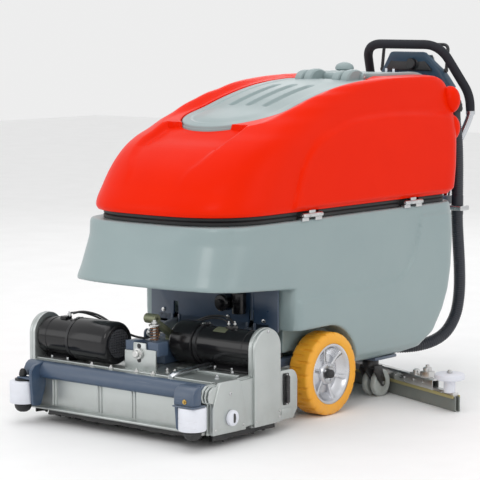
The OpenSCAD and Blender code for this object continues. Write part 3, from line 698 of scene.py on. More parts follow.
def makeLid():
    n = 300
    s = lidShape
    rim = lidOutline(0, n)
    spine = np.column_stack([np.zeros(n), np.clip(rim[:, 1], s["front"] + 160, s["back"] - 130)])
    g = s["grooves"]

    def topZ(plan, t):
        x, y = plan[:, 0], plan[:, 1]
        z = lidLine(y) + s["crown"] * (1 - (x / s["half"]) ** 2) * eased(t, 0, 0.5)
        for gx in g["x"]:
            away = np.hypot(x - gx, y - np.clip(y, g["front"], g["back"]))
            z = z - g["depth"] * (1 - eased(away, g["radius"] * 0.45, g["radius"]))
        # the middle field sits below a raised border
        return z - 2.5 * eased(t, 0.16, 0.2)

    loops = []
    ts = np.linspace(1, 0.02, 74)
    for t in ts:
        plan = rim + (spine - rim) * t
        loops.append(level(plan, topZ(plan, np.full(n, t))))
    edge = lidLine(rim[:, 1])
    for inward, drop in ((0.008, 0.7), (0.002, 2.2), (0, 4.5), (0, 11), (0.004, 13), (0.02, 14), (0.03, 14),
                         (0.04, 15.5), (1, 15.5)):
        plan = rim + (spine - rim) * inward
        loops.append(level(plan, lidLine(plan[:, 1]) - drop if inward > 0.5 else edge - drop))
    return ringed("lidPanel", loops, False, False)


lidPanel = makeLid()
humps = []
for side in (-1, 1):
    for k, (dx, dy, r) in enumerate(((-17, -4, 32), (17, 4, 36))):
        hump = turned("hump", [(0, -16), (r - 5, -16), (r - 1, -12), (r, -7), (r, 7), (r - 1, 12), (r - 5, 16),
                               (0, 16)], (0, 0, 0), "X", 64)
        stretch = Matrix.Scale(1.45, 4, (0, 1, 0))
        hump.data.transform(Matrix.Translation(at(side * 74 + dx, 286 + dy, 1000)) @ stretch)
        humps.append(hump)
piece("lidHumps", humps, "lid_shell", "lid")
finished(lidPanel, "lid_shell", "lid", "lid", angle=50)

# grey collar that shows under the lid's front lip
n = 300
inner, outer = lidOutline(-4, n), lidOutline(2.6, n)
line = lidLine(inner[:, 1])
collar = ringed("lidCollar", [level(inner, line - 26), level(outer, line - 26), level(outer, line - 11),
                              level(lidOutline(1.5, n), line - 9.5), level(inner, line - 9.5),
                              level(inner, line - 26)], False, False)
finished(collar, "lid_shell", "upper_tank")

# cover behind the lid with its lugs, pin, cap and two small pegs
coverShape = {"half": 150, "front": 334, "back": 656}
n = 240
rim = outline(coverShape["half"], coverShape["front"], coverShape["back"], 60, 60, 4, 4, n)
spine = np.column_stack([np.zeros(n), np.clip(rim[:, 1], 480, 510)])
loops = []
for t, rise in ((0, -3), (0, 5), (0.01, 8), (0.03, 9), (0.15, 9), (0.19, 5.5), (0.5, 6.5), (1, 7)):
    plan = rim + (spine - rim) * t
    loops.append(level(plan, shellHeight(plan[:, 0], plan[:, 1]) + rise))
cover = ringed("rearCover", [level(rim + (spine - rim) * 0.02, 960)] + loops, True, False)
lugs = [cover]
for x in (-118, 100):
    lugs.append(plate("lug", [(306, 990), (306, 1012), (311, 1020), (318, 1024), (326, 1020), (340, 1008),
                              (340, 990)], x, x + 18, "X", 2))
lugs.append(plate("lug", [(306, 990), (306, 1012), (311, 1020), (318, 1024), (326, 1020), (340, 1008),
                          (340, 990)], -44, 44, "X", 3))
piece("rearCover", lugs, "lid_shell", "upper_tank", "rear_cover")
finished(bar("lidPin", (-119, 318, 1010), (119, 318, 1010), 4, 20, 0.8), "zinc_steel", "upper_tank")
cap = turned("capKnob", [(0, 0), (19, 0), (19, 9), (27, 11), (31, 15), (31, 20), (27, 28), (18, 34), (8, 37),
                         (0, 38)], (-62, 452, 1016), "Z", 48)
finished(cap, "lid_shell", "upper_tank")
pegs = [bar("peg", (x, y, 1018), (x, y, 1032), 4, 16, 1) for x, y in ((30, 560), (88, 520))]
piece("coverPegs", pegs, "white_roller", "upper_tank")
print("lid and cover are made")

# lower tank
lowerTank = {
    # height, half width, front, back, front depth, front power, tilt of the nose
    "rows": [(139, 284, -272, 340, 40, 6, 0), (149, 297, -281, 420, 40, 6, 0), (192, 300, -284, 494, 40, 6, 0),
             (260, 300, -285, 548, 40, 6, 0),
             (322, 300, -286, 578, 40, 6, 0), (401, 300, -287, 598, 40, 6, 0),
             (428, 300, -681, 598, 172, 2.8, -0.07),
             (438, 300, -684, 600, 175, 2.73, -0.063), (470, 300, -672, 609, 195, 2.76, -0.046),
             (513, 300, -655, 620, 220, 2.95, -0.028),
             (556, 300, -637, 628, 250, 3.2, -0.012), (598, 300, -620, 634, 268, 3.9, 0),
             (606, 297, -616, 631, 268, 3.9, 0)],
    "voxel": 5.5,
    "contour": [(-700, 367), (-341, 367), (-200, 369), (0, 372), (120, 375), (200, 380), (264, 392), (310, 420),
                (345, 470), (362, 520), (378, 572), (384, 574), (660, 574)],
    "step": 7,
}


def makeLowerTank():
    n = 200
    loops = []
    for z, half, front, back, depth, power, tilt in lowerTank["rows"]:
        ring = outline(half, front, back, depth, 150, power, 3 + 4 * min(max((600 - z) / 180, 0), 1), n)
        loops.append(level(ring, z + tilt * (np.minimum(ring[:, 1], -335) - front)))
    obj = ringed("lowerTankShell", loops)
    cutters = [box("cut", (-226, -366, 100), (226, -236, 292)), box("cut", (-226, -237, 100), (226, -30, 195)),
               box("cut", (-50, -31, 100), (50, 112, 170)), box("cut", (-62, 340, 100), (62, 640, 186)),
               box("cut", (-62, 270, 100), (62, 342, 166))]
    for side in (-1, 1):
        a, b = span(side, 42, 62)
        cutters.append(box("cut", (a, 110, 100), (b, 342, 166)))
        a, b = span(side, 116, 164)
        cutters.append(box("cut", (a, 322, 100), (b, 380, 158)))
        a, b = span(side, 220, 330)
        cutters.append(box("cut", (a, -366, 100), (b, -115, 274)))
        c, d = span(side, 137, 163)
        cutters.append(box("cut", (c, -366, 280), (d, -236, 312)))
        e, f = span(side, 225.5, 330)
        cutters.append(bar("cut", (e, -115, 127), (f, -115, 127), 147, 96))
    carved(obj, cutters)
    pick(obj)
    obj.data.remesh_voxel_size = lowerTank["voxel"] * mm
    bpy.ops.object.voxel_remesh()
    applied(obj, "SMOOTH", factor=0.5, iterations=6)
    co = coords(obj)
    x, y, z = co[:, 0], co[:, 1], co[:, 2]
    edgeZ = through(y, *zip(*lowerTank["contour"]))
    push = lowerTank["step"] * eased(edgeZ - z, -2, 10) * eased(np.abs(x), 292, 298)
    push = push * eased(z, 150, 165) * (1 - eased(y, 520, 600)) * eased(y, -275, -245)
    co[:, 0] = x + np.sign(x) * push
    setCoords(obj, co)
    applied(obj, "DECIMATE", ratio=0.42)
    carved(obj, [box("cut", (-205, -225, 200), (205, 470, 700))])
    return obj


finished(makeLowerTank(), "grey_shell", "root", "lower_tank", angle=50)
n = 200
gasket = ringed("tankGasket", [level(outline(half, -600 + d, 616 - d, 262, 150, 2.9, 3, n), z) for half, d, z in
                               ((284, 2, 605.5), (286, 0, 608), (286, 0, 616), (283, 3, 619), (286, 0, 622),
                                (286, 0, 629), (284, 2, 631.5))])
carved(gasket, [box("cut", (-205, -225, 500), (205, 470, 700))] + [box("cut", (270, y - 53, 590),
        (310, y + 53, 700)) for y in (-199, 330)])
finished(gasket, "black_rubber", "root", "tank_gasket")
print("lower tank is made")

# drive wheels: tyre with cross grooves, dished cast hub with five windows
wheel = {"x": 280, "y": -115, "z": 127, "radius": 127, "width": 76, "rim": 93, "grooves": 40,
         "grooveDepth": 3.2, "spokes": 6}


def makeTyre(name):
    w = wheel
    half, r = w["width"] / 2, w["radius"]
    profile = [(w["rim"], -half + 3), (w["rim"] + 4, -half + 0.6), (r - 14, -half), (r - 6, -half + 1.5),
               (r - 2, -half + 4.5), (r, -half + 9)]
    profile += [(r, d) for d in np.linspace(-half + 13, half - 13, 9)]
    profile += [(r, half - 9), (r - 2, half - 4.5), (r - 6, half - 1.5), (r - 14, half),
                (w["rim"] + 4, half - 0.6), (w["rim"], half - 3), (w["rim"], -half + 3)]
    obj = turned(name, profile, (w["x"], w["y"], w["z"]), "X", w["grooves"] * 8)
    co = coords(obj)
    dx, dy, dz = co[:, 0] - w["x"], co[:, 1] - w["y"], co[:, 2] - w["z"]
    rr = np.hypot(dy, dz)
    # grooves alternate from side to side and stop short of the middle
    turn = (np.arctan2(dz, dy) / tau * w["grooves"]) % 1
    inGroove = (eased(turn, 0.30, 0.38) * (1 - eased(turn, 0.62, 0.70)))
    odd = (np.floor(np.arctan2(dz, dy) / tau * w["grooves"] + 1000) % 2) * 2 - 1
    reach = eased(dx * odd, -10, -4) * eased(rr, r - 9, r - 4)
    pull = w["grooveDepth"] * inGroove * reach
    co[:, 1] = w["y"] + dy * (1 - pull / rr)
    co[:, 2] = w["z"] + dz * (1 - pull / rr)
    setCoords(obj, co)
    return obj


def makeHub(name):  # seen face towards +X
    w = wheel
    c = (w["x"], w["y"], w["z"])
    half, r = w["width"] / 2, w["rim"]
    shell = [(12.5, 22), (17, 24), (30, 24), (33, 21), (36, 12), (60, 8), (76, 18), (81, 27), (84, 33),
             (87, 35.6), (r - 1, 35), (r, 33.5),
             (r, -half + 6), (r - 1, -half + 4.5), (r - 8, -half + 4.5), (r - 9, -half + 6), (r - 10, -20),
             (70, -6), (40, -4), (33, -8), (31, -24), (12.5, -24), (12.5, 22)]
    hub = turned("hub", shell, c, "X", 96)
    parts = [hub]
    # webs between the dished windows
    for k in range(w["spokes"]):
        web = plate("web", [(-7, 30), (-5, 58), (-9, 85), (9, 85), (5, 58), (7, 30)], c[0] + 4, c[0] + 27, "X",
                    3, 3)
        web.data.transform(Matrix.Translation(Vector((0, c[1] * mm, c[2] * mm))))
        co = coords(web)
        away = co[:, 2] - c[2]
        topX = np.interp(away, [28, 60, 86], [c[0] + 19, c[0] + 21, c[0] + 31])
        co[:, 0] = np.where(co[:, 0] > c[0] + 14, topX - (c[0] + 27 - co[:, 0]), co[:, 0])
        setCoords(web, co)
        web.data.transform(Matrix.Translation(at(*c)) @ Matrix.Rotation(tau * (k + 0.25) / w["spokes"], 4,
                "X") @ Matrix.Translation(-at(*c)))
        parts.append(web)
    for k in range(5):
        a = tau * (k + 0.1) / 5
        parts.append(bar("nut", (c[0] + 22, c[1] + 24 * math.cos(a), c[2] + 24 * math.sin(a)),
                         (c[0] + 29, c[1] + 24 * math.cos(a), c[2] + 24 * math.sin(a)), 4.2, 6, 0.7))
    return joined(name, parts)


tyre, hub = makeTyre("tyreLeft"), makeHub("hubLeft")
tyreRight, hubRight = copied(tyre, "tyreRight", flip=True), copied(hub, "hubRight", flip=True)
for obj, side, node in ((tyre, "left", "tyre_left"), (tyreRight, "right", "tyre_right")):
    finished(obj, "amber_tyre", "drive_wheel_" + side, node, angle=40)
for obj, side, node in ((hub, "left", "hub_left"), (hubRight, "right", "hub_right")):
    finished(obj, "cast_hub", "drive_wheel_" + side, node, angle=35)
for side, sign in (("left", 1), ("right", -1)):
    rim = turned("axleCap", [(0, 41), (7, 40.5), (11, 38.5), (13.5, 34), (13.5, 20), (0, 20)],
                 (wheel["x"], wheel["y"], wheel["z"]), "X", 32)
    if sign < 0:
        flipped = copied(rim, "axleCapRight", flip=True)
        bpy.data.objects.remove(rim)
        rim = flipped
    finished(rim, "black_plastic", "drive_wheel_" + side)
print("drive wheels are made")

# casters: twin wheels either side of a forked stem plate
caster = {"x": 228, "y": 208, "axleY": 238, "axleZ": 44, "radius": 44}


def makeCasterWheels(name):
    c = caster
    parts = []
    for e in (-1, 1):
        profile = [(6.2, -8), (14, -9), (24, -7), (30, -6.5), (34, -8.5), (38, -9.5), (42, -8), (43.6, -4),
                   (44, 0), (43.6, 4), (42, 8), (38, 9.5), (34, 8.5), (30, 6.5), (24, 7), (14, 9), (6.2, 8),
                   (6.2, -8)]
        parts.append(turned("casterWheel", profile, (c["x"] + e * 16.5, c["axleY"], c["axleZ"]), "X", 64))
    return joined(name, parts)


def makeCasterFork(name):
    c = caster
    x, y = c["x"], c["y"]
    stem = plate("stem", [(y - 24, 100), (y - 26, 92), (y - 24, 84), (y + 4, 52), (c["axleY"] - 12, 36),
                          (c["axleY"] - 4, 30), (c["axleY"] + 10, 32), (c["axleY"] + 14, 48), (y + 34, 74),
                          (y + 27, 92), (y + 26, 100)], x - 5, x + 5, "X", 2, 2)
    crown = turned("crown", [(0, 100), (25, 100), (26, 102), (26, 116), (23, 121), (22, 127), (0, 127)],
                   (x, y, 0), "Z", 48)
    pin = bar("pin", (x, y, 120), (x, y, 137), 12, 32, 1)
    hood = []
    for e in (-1, 1):
        # outer cheek that shows beside each wheel
        outer = plate("cheek", [(y - 16, 104), (y - 22, 88), (y + 2, 56), (c["axleY"] - 9, 36),
                                (c["axleY"], 32), (c["axleY"] + 9, 38), (c["axleY"] + 12, 54), (y + 28, 80),
                                (y + 22, 104)], x + e * 28 - 1.6, x + e * 28 + 1.6, "X", 1, 2)
        hood.append(outer)
    top = box("bridge", (x - 29, y - 20, 96), (x + 29, y + 22, 104), 3, 2)
    axle = bar("axle", (x - 33, c["axleY"], c["axleZ"]), (x + 33, c["axleY"], c["axleZ"]), 5.5, 24, 1)
    return joined(name, [stem, crown, pin, top] + hood), axle


casterWheels = makeCasterWheels("casterWheelsLeft")
casterFork, casterAxle = makeCasterFork("casterForkLeft")
pieces = [("left", casterWheels, casterFork, casterAxle),
          ("right", copied(casterWheels, "casterWheelsRight", flip=True),
           copied(casterFork, "casterForkRight", flip=True), copied(casterAxle, "casterAxleRight", flip=True))]
for side, rollers, fork, axle in pieces:
    finished(rollers, "caster_tread", "caster_wheels_" + side, "caster_wheels_" + side, angle=40)
    finished(fork, "black_plastic", "caster_" + side, "caster_fork_" + side)
    finished(axle, "zinc_steel", "caster_" + side)
print("casters are made")

# brush motors with fan covers, clamp bands, feet and terminals
motor = {"body": 56, "fan": 64, "z": 250}


def makeMotor(name, y, outerX, bodyX, fanX):  # modelled on the +X side, fan towards the middle
    c = (0, y, motor["z"])
    r = motor["body"]
    can = turned("can", [(0, outerX), (r - 4, outerX), (r, outerX - 4), (r, outerX - 30),
                         (r + 1.5, outerX - 31), (r + 1.5, outerX - 36), (r, outerX - 37),
                         (r, bodyX + 22), (r + 2, bodyX + 20), (r + 2, bodyX + 2), (r - 2, bodyX),
                         (0, bodyX)][::-1], c, "X", 80)
    fan = motor["fan"]
    cover = turned("fanCover", [(0, bodyX + 3), (fan - 3, bodyX + 3), (fan - 0.5, bodyX + 1), (fan, bodyX - 3),
                                (fan, fanX + 16), (fan - 1.5, fanX + 8), (fan - 5, fanX + 3), (fan - 11, fanX),
                                (45, fanX), (44, fanX + 8), (0, fanX + 8)][::-1], c, "X", 80)
    lip = turned("lip", [(43, fanX + 2.5), (43, fanX - 0.5), (45, fanX - 1), (46, fanX + 1), (46, fanX + 3)], c,
                 "X", 64)
    foot = plate("foot", [(y - 44, 184), (y - 44, 190), (y - 26, 204), (y + 26, 204), (y + 44, 190),
                          (y + 44, 184)], bodyX + 26, outerX - 18, "X", 2)
    tower = box("terminalBase", ((bodyX + outerX) / 2 - 12, y - 14, 300),
                ((bodyX + outerX) / 2 + 12, y + 14, 313), 2)
    brushCap = [turned("cap", [(0, 0), (8, 0), (8, 5), (6.5, 7), (0, 7)],
                       (bodyX + 12, y - 57 * math.sin(a), motor["z"] + 57 * math.cos(a)), "Z",
                       20) for a in (0.25,)]
    return joined(name, [can, cover, lip, foot, tower] + brushCap)


def makeGrille(name, y, fanX):  # crossed bars over the fan opening
    parts = []
    for k in range(-5, 6):
        d = k * 7.6
        h = math.sqrt(43 ** 2 - d ** 2)
        parts.append(box("grilleBar", (fanX - 0.8, y + d - 1.3, motor["z"] - h),
                         (fanX + 1.4, y + d + 1.3, motor["z"] + h)))
        parts.append(box("grilleBar", (fanX - 0.2, y - h, motor["z"] + d - 1.3),
                         (fanX + 2, y + h, motor["z"] + d + 1.3)))
    return joined(name, parts)


def makeStraps(name, y, xs, outerR):
    parts = []
    for x in xs:
        parts.append(turned("strap", [(outerR, x - 5), (outerR + 1.4, x - 5), (outerR + 1.4, x + 5),
                                      (outerR, x + 5), (outerR, x - 5)], (0, y, motor["z"]), "X", 64))
        parts.append(box("strapBlock", (x - 7, y - 7, motor["z"] + outerR - 1),
                         (x + 7, y + 5, motor["z"] + outerR + 6), 1.2))
    return joined(name, parts)


def makeTerminals(name, y, x0, strapX):
    parts = [bar("strapScrew", (strapX, y - 18, motor["z"] + 60), (strapX, y + 15, motor["z"] + 60), 3.8, 12,
                 0.6)]
    for dx, dy in ((-7, -5), (7, 5)):
        parts.append(bar("stud", (x0 + dx, y + dy, 313), (x0 + dx, y + dy, 326), 2.4, 12, 0.4))
        parts.append(bar("nut", (x0 + dx, y + dy, 316), (x0 + dx, y + dy, 320), 5, 6, 0.5))
    for dx, dy in ((-30, -40), (34, -40), (-30, 40), (34, 40)):
        parts.append(bar("footBolt", (x0 + dx, y + dy, 186), (x0 + dx, y + dy, 197), 5, 6, 0.6))
    return joined(name, parts)


rearMotor = makeMotor("motorRear", -495, 346, 125, 40)
rearGrille = makeGrille("grilleRear", -495, 40)
rearStraps = makeStraps("strapsRear", -495, (139,), 58.2)
rearTerminals = makeTerminals("terminalsRear", -495, 235, 139)
frontMotor = makeMotor("motorFrontSeed", -658, 346, 207, 62)
frontGrille = makeGrille("grilleSeed", -658, 62)
frontStraps = makeStraps("strapsSeed", -658, (221,), 58.2)
frontTerminals = makeTerminals("terminalsSeed", -658, 262, 221)
for obj, name, material, slot, node in ((frontMotor, "motorFront", "black_motor", "black_motor",
                                         ["motor_front"]), (frontGrille, "grilleFront", "grille_bar",
                                                 "black_plastic", []),
                                        (frontStraps, "strapsFront", "black_plastic", "zinc_steel", []),
                                        (frontTerminals, "terminalsFront", "zinc_steel", "zinc_steel", [])):
    other = copied(obj, name, flip=True)
    bpy.data.objects.remove(obj)
    finished(other, slot, "deck", *node, look=material)
finished(rearMotor, "black_motor", "deck", "motor_rear")
finished(rearGrille, "black_plastic", "deck", look="grille_bar")
finished(rearStraps, "zinc_steel", "deck", look="black_plastic")
finished(rearTerminals, "zinc_steel", "deck")
# blank rating plate on the rear motor
label = turned("ratingPlate", [(56.2, 190), (56.9, 190), (56.9, 236), (56.2, 236), (56.2, 190)], (0, -495, 250),
               "X", 90)
pick(label)
bpy.ops.object.mode_set(mode="EDIT")
bpy.ops.mesh.select_all(action="SELECT")
bpy.ops.mesh.bisect(plane_co=at(0, -505, 290), plane_no=(0, 0.25, 1), clear_inner=True, use_fill=False)
bpy.ops.mesh.select_all(action="SELECT")
bpy.ops.mesh.bisect(plane_co=at(0, -500, 0), plane_no=(0, 1, 0), clear_outer=True, use_fill=False)
bpy.ops.object.mode_set(mode="OBJECT")
finished(label, "olive_link", "deck")
leads = [tube("lead", cutCorners([[-255, -651, 321], [-235, -628, 328], [-190, -600, 316], [-140, -584, 282],
                                  [-90, -566, 258], [-60, -545, 252]], 3), 3.4, 2),
         tube("lead", cutCorners([[-269, -651, 321], [-245, -622, 324], [-195, -594, 306], [-140, -578, 274],
                                  [-90, -556, 254], [-60, -530, 250]], 3), 3, 2),
         tube("lead", cutCorners([[242, -495, 321], [200, -470, 334], [120, -458, 328], [60, -446, 304],
                                  [24, -446, 300], [0, -458, 250]], 3), 3.4, 2),
         tube("lead", cutCorners([[228, -500, 321], [190, -480, 328], [120, -466, 322], [62, -454, 298],
                                  [26, -454, 292], [6, -464, 250]], 3), 3, 2)]
piece("motorLeads", leads, "cable_jacket", "deck", "motor_leads", angle=60)
print("motors are made")

# deck: top plate, side plates, front panel, bumper bar, skirts and fittings
topPlate = joined("deckPlate", [box("top", (-345, -736, 179), (345, -404, 184), 1.5),
                                box("flange", (-345, -736, 114), (345, -731, 181), 1),
                                box("step", (-345, -716, 184), (345, -704, 189), 2),
                                box("rib", (112, -600, 184), (340, -588, 192), 2),
                                box("rib", (-340, -572, 184), (-70, -562, 192), 2)])
finished(topPlate, "navy_paint", "deck", "deck_frame", look="alloy_plate")
posts = []
for side in (-1, 1):
    for x in (132, 160):
        lo, hi = span(side, x, x + 8)
        posts.append(plate("post", [(-431, 184), (-431, 244), (-427, 253), (-418, 257), (-409, 253),
                                    (-405, 244), (-405, 184)], lo, hi, "X", 1))
    posts.append(bar("armPin", (side * 128, -418, 244), (side * 172, -418, 244), 8, 32, 1))
posts.append(box("centreBlock", (-60, -560, 184), (30, -450, 246), 5, 3))
posts.append(box("bracketBlock", (-10, -686, 236), (25, -640, 270), 2, 3))
posts.append(box("bracketBlock", (76, -686, 232), (116, -640, 272), 2, 3))
posts.append(box("blockTop", (-64, -556, 240), (24, -470, 250), 3, 2))
piece("armPosts", posts, "navy_paint", "deck")
bracket = plate("centreBracket", [(-8, 186), (-8, 243), (26, 243), (26, 266), (28, 268), (73, 268), (75, 266),
                                  (75, 250), (112, 250), (112, 186)], -692, -686, "Y", 1.2)
bracketFoot = box("bracketFoot", (-12, -704, 184), (116, -684, 189), 1.5)
piece("centreBracket", [bracket, bracketFoot], "alloy_plate", "deck")
knobHead = turned("adjuster", [(0, -20), (9, -20), (11, -18), (11, -10), (16, -9), (17, -7), (17, -2), (16, 0),
                               (0, 0)], (49, -692, 237), "Y", 32)
# black discs on the bracket face are painted shade for its slot and its hole
slotShadeDisc = bar("bracketSlotShade", (49, -693.5, 217), (49, -691.5, 217), 7, 16)
piece("adjuster", [knobHead], "zinc_steel", "deck")
piece("bracketSlotShade", [slotShadeDisc, bar("bracketHoleShade", (49, -693.2, 259), (49, -691.5, 259), 7, 16)],
      "black_plastic", "deck")
guide = tube("guideRail", cutCorners([[196, -724, 188], [198, -700, 197], [196, -600, 199], [190, -530, 199],
                                      [188, -512, 190]], 3), 8, 3)
finished(guide, "bright_tube", "deck")


def fattened(outlinePoints, cx, cy, grow):
    out = []
    for u, v in outlinePoints:
        d = math.hypot(u - cx, v - cy)
        out.append((u + (u - cx) / d * grow, v + (v - cy) / d * grow))
    return out


def arch(y, r, top, bottom, steps=24):  # belt cover outline: straight legs and a round top
    return [(y - r, bottom)] + arcPoints(y, top, r, math.pi, 0, steps) + [(y + r, bottom)]


def makeSide(name, coverY, plainFront, plainBack, sloped):
    parts = []
    # cast end wall with three stepped ribs, then the folded covers
    wall = [(-744, 40), (-744, 130), (-766, 138), (-770, 154), (-764, 172), (-748, 184), (-425, 190),
            (-425, 38)] if sloped else [(-738, 40), (-738, 150), (-730, 166), (-700, 188), (-425, 190),
                                        (-425, 38)]
    parts.append(plate("wall", wall, 346, 351, "X", 1.5))
    parts.append(plate("wallRib", fattened(wall, -580, 110, -7), 353, 357, "X", 1.5, 3))
    if sloped:
        parts.append(plate("wallRib", fattened(wall, -580, 110, -15), 359, 364, "X", 2, 3))
    parts.append(plate("archWall", arch(coverY, 62, 257, 34, 30), 346, 358, "X", 2, 3))
    parts.append(plate("archCover", arch(coverY, 60, 257, 36, 40), 359, 371, "X", 3, 4))
    parts.append(plate("archEdge", arch(coverY, 62.5, 257, 34, 40), 357, 360, "X", 1, 2))
    if sloped:
        front = [(-738, 40), (-738, 118), (-734, 128), (-712, 180), (-708, 186), (-702, 189), (-628, 189),
                 (-621, 186), (-617, 180), (-596, 112), (-592, 100), (-592, 38)]
    else:
        front = [(plainFront, 38), (plainFront, 190), (plainBack, 190), (plainBack, 38)]
    parts.append(plate("plainCover", front, 355, 369, "X", 3.5, 4))
    return joined(name, parts)


leftSide = makeSide("sidePlateLeft", -495, -738, -592, True)
rightSeed = makeSide("sideSeed", -660, -594, -425, False)
rightSide = copied(rightSeed, "sidePlateRight", flip=True)
bpy.data.objects.remove(rightSeed)
finished(leftSide, "alloy_plate", "deck", "side_plate_left")
finished(rightSide, "alloy_plate", "deck", "side_plate_right")
ribs = []
for x in (-243, -60, 73, 246):
    for d in (-6, 6):
        ribs.append(bar("rib", (x + d, -744.5, 56), (x + d, -744.5, 134), 3.2, 12, 1))
panel = [box("panel", (-344, -744, 50), (344, -737, 137), 1),
         plate("lip", [(-737, 42), (-757, 42), (-760, 46), (-759, 50), (-745, 52), (-737, 52)], -344, 344, "X",
               1)]
piece("frontPanel", panel + ribs, "alloy_plate", "deck", "front_panel")
barShape = [(-737, 138), (-752, 137), (-764, 139), (-771, 146), (-772, 155), (-771, 162), (-763, 176),
            (-752, 184), (-737, 186)]
bumper = [plate("bumperBar", barShape, -346, 346, "X", 3, 3)]
for side in (-1, 1):
    a, b = span(side, 280, 291)
    bumper.append(plate("gusset", [(-737, 118), (-743, 112), (-762, 60), (-768, 54), (-792, 56), (-798, 62),
                                   (-806, 150), (-804, 164), (-790, 178), (-752, 185), (-737, 186)], a, b, "X",
                                   3, 3))
    c, d = span(side, 292, 364)
    if side > 0:
        bumper.append(plate("endBox", [(-784, 131), (-816, 131), (-820, 136), (-820, 166), (-812, 180),
                                       (-796, 188), (-784, 188)], c, d, "X", 4, 3))
        bumper.append(box("endBlock", (c, -790, 131), (d - 26, -740, 186), 4, 3))
        bumper.append(box("endFlange", (290, -824, 129), (369, -770, 133.5), 1.5))
    else:
        bumper.append(box("tongue", (c + 18, -800, 134), (d + 4, -774, 140), 2, 3))
piece("bumperBar", bumper, "navy_paint", "deck", "bumper_bar")
feet, bolts = [], []
for side in (-1, 1):
    x = side * 333
    feet.append(turned("rollerFoot", [(0, 34), (12, 34), (19, 38), (24, 45), (26, 52), (26, 57), (0, 57)],
                       (x, -787, 0), "Z", 40))
    feet.append(turned("rollerStem", [(0, 128.4), (24, 128.4), (24, 134), (0, 134)], (x, -787, 0), "Z", 40))
    if side < 0:
        feet.append(turned("rollerKnob", [(0, 140), (10, 140), (12, 145), (11, 152), (9, 158), (5, 163),
                                          (0, 164)], (x, -787, 0), "Z", 32))
    else:
        bolts.append(bar("rollerBolt", (x, -822, 146), (x, -819, 146), 8, 6, 1))
        bolts.append(bar("rollerStud", (x, -826, 146), (x, -819, 146), 4, 16, 1))
piece("rollerFeet", feet, "black_rubber", "deck")
piece("rollerBolts", bolts, "zinc_steel", "deck", look="brass_bolt")
roller = turned("bumperRollerLeft", [(8.2, 60), (34, 60), (38.5, 61.5), (40, 64), (40, 92), (39.6, 94),
                                     (40, 96), (40, 124), (38.5, 126.5), (34, 128), (8.2, 128), (8.2, 60)],
                                     (333, -787, 0), "Z", 72)
rollerRight = copied(roller, "bumperRollerRight", move=(-666, 0, 0))
finished(roller, "white_roller", "bumper_roller_left", "bumper_roller_left")
finished(rollerRight, "white_roller", "bumper_roller_right", "bumper_roller_right")


def makeSkirts():
    strips = []
    low = [(x, 29 + 1.6 * math.sin(x / 37) + 1.2 * math.sin(x / 13)) for x in range(-260, 337, 12)]
    strips.append(plate("frontSkirt", low + [(336, 46), (-260, 46)], -751, -746.5, "Y"))
    strips.append(box("skirtBar", (-260, -754, 39), (336, -746, 46), 1.5))
    for side in (-1, 1):
        edge = [(y, 19 + 1.4 * math.sin(y / 17)) for y in range(-718, -437, 10)]
        strips.append(plate("sideSkirt", edge + [(-438, 42), (-718, 42)], *span(side, 346.5, 350), "X"))
    return joined("rubberSkirts", strips)


finished(makeSkirts(), "black_rubber", "deck", "rubber_skirts")
screws = []


def addScrew(place, axis, radius=5.5):
    profile = [(0, 0), (radius, 0), (radius, 1), (radius * 0.8, 2.4), (radius * 0.35, 3), (radius * 0.3, 1.6),
               (0, 1.6)]
    screw = turned("screw", profile, (0, 0, 0), "Z", 20)
    turn = {"+X": Matrix.Rotation(math.pi / 2, 4, "Y"), "-X": Matrix.Rotation(-math.pi / 2, 4, "Y"),
            "-Y": Matrix.Rotation(math.pi / 2, 4, "X"), "+Z": Matrix.Identity(4)}[axis]
    screw.data.transform(Matrix.Translation(at(*place)) @ turn)
    screws.append(screw)


for y, z in ((-728, 54), (-604, 54), (-664, 152), (-548, 52), (-442, 52), (-495, 309), (-440, 70)):
    addScrew((368.5 if y < -590 else 371, y, z), "+X", 4.5)
for y, z in ((-580, 54), (-438, 54), (-438, 174), (-711, 54), (-609, 54), (-660, 309), (-711, 200),
             (-609, 200)):
    addScrew((-368.5 if y > -600 else -371, y, z), "-X", 4.5)
for x, y in ((60, -716), (124, -716), (190, -716), (-40, -716), (-120, -712), (300, -640), (300, -570),
             (-300, -560), (-300, -470), (120, -650), (150, -650)):
    bolt = joined("bolt", [bar("washer", (x, y, 183.6), (x, y, 190.6 if y < -700 else 186), 8, 24, 0.6),
                           bar("boltHead", (x, y, 186), (x, y, 193.5), 6.5, 6, 0.8),
                           bar("boltTip", (x, y, 190), (x, y, 196.5), 3.4, 12, 0.6)])
    screws.append(bolt)
piece("deckScrews", screws, "zinc_steel", "deck", "deck_fasteners")
# round latch on the near side plate, white, with a thin black plate on its face as painted shade for the slot
latch = turned("latchKnob", [(0, 12), (19, 12), (22, 10), (23, 7), (23, 1), (0, 1)], (369, -660, 82), "X", 48)
finished(latch, "white_roller", "latch_knob", "latch_knob")
# black plate standing in for the slot: painted shade, not a part
finished(plate("latchSlotShade", [(-664, 70), (-661, 68), (-656, 70), (-654, 82), (-656, 94), (-661, 96),
                             (-664, 94)], 380, 382.4, "X", 0.5), "black_plastic", "latch_knob")
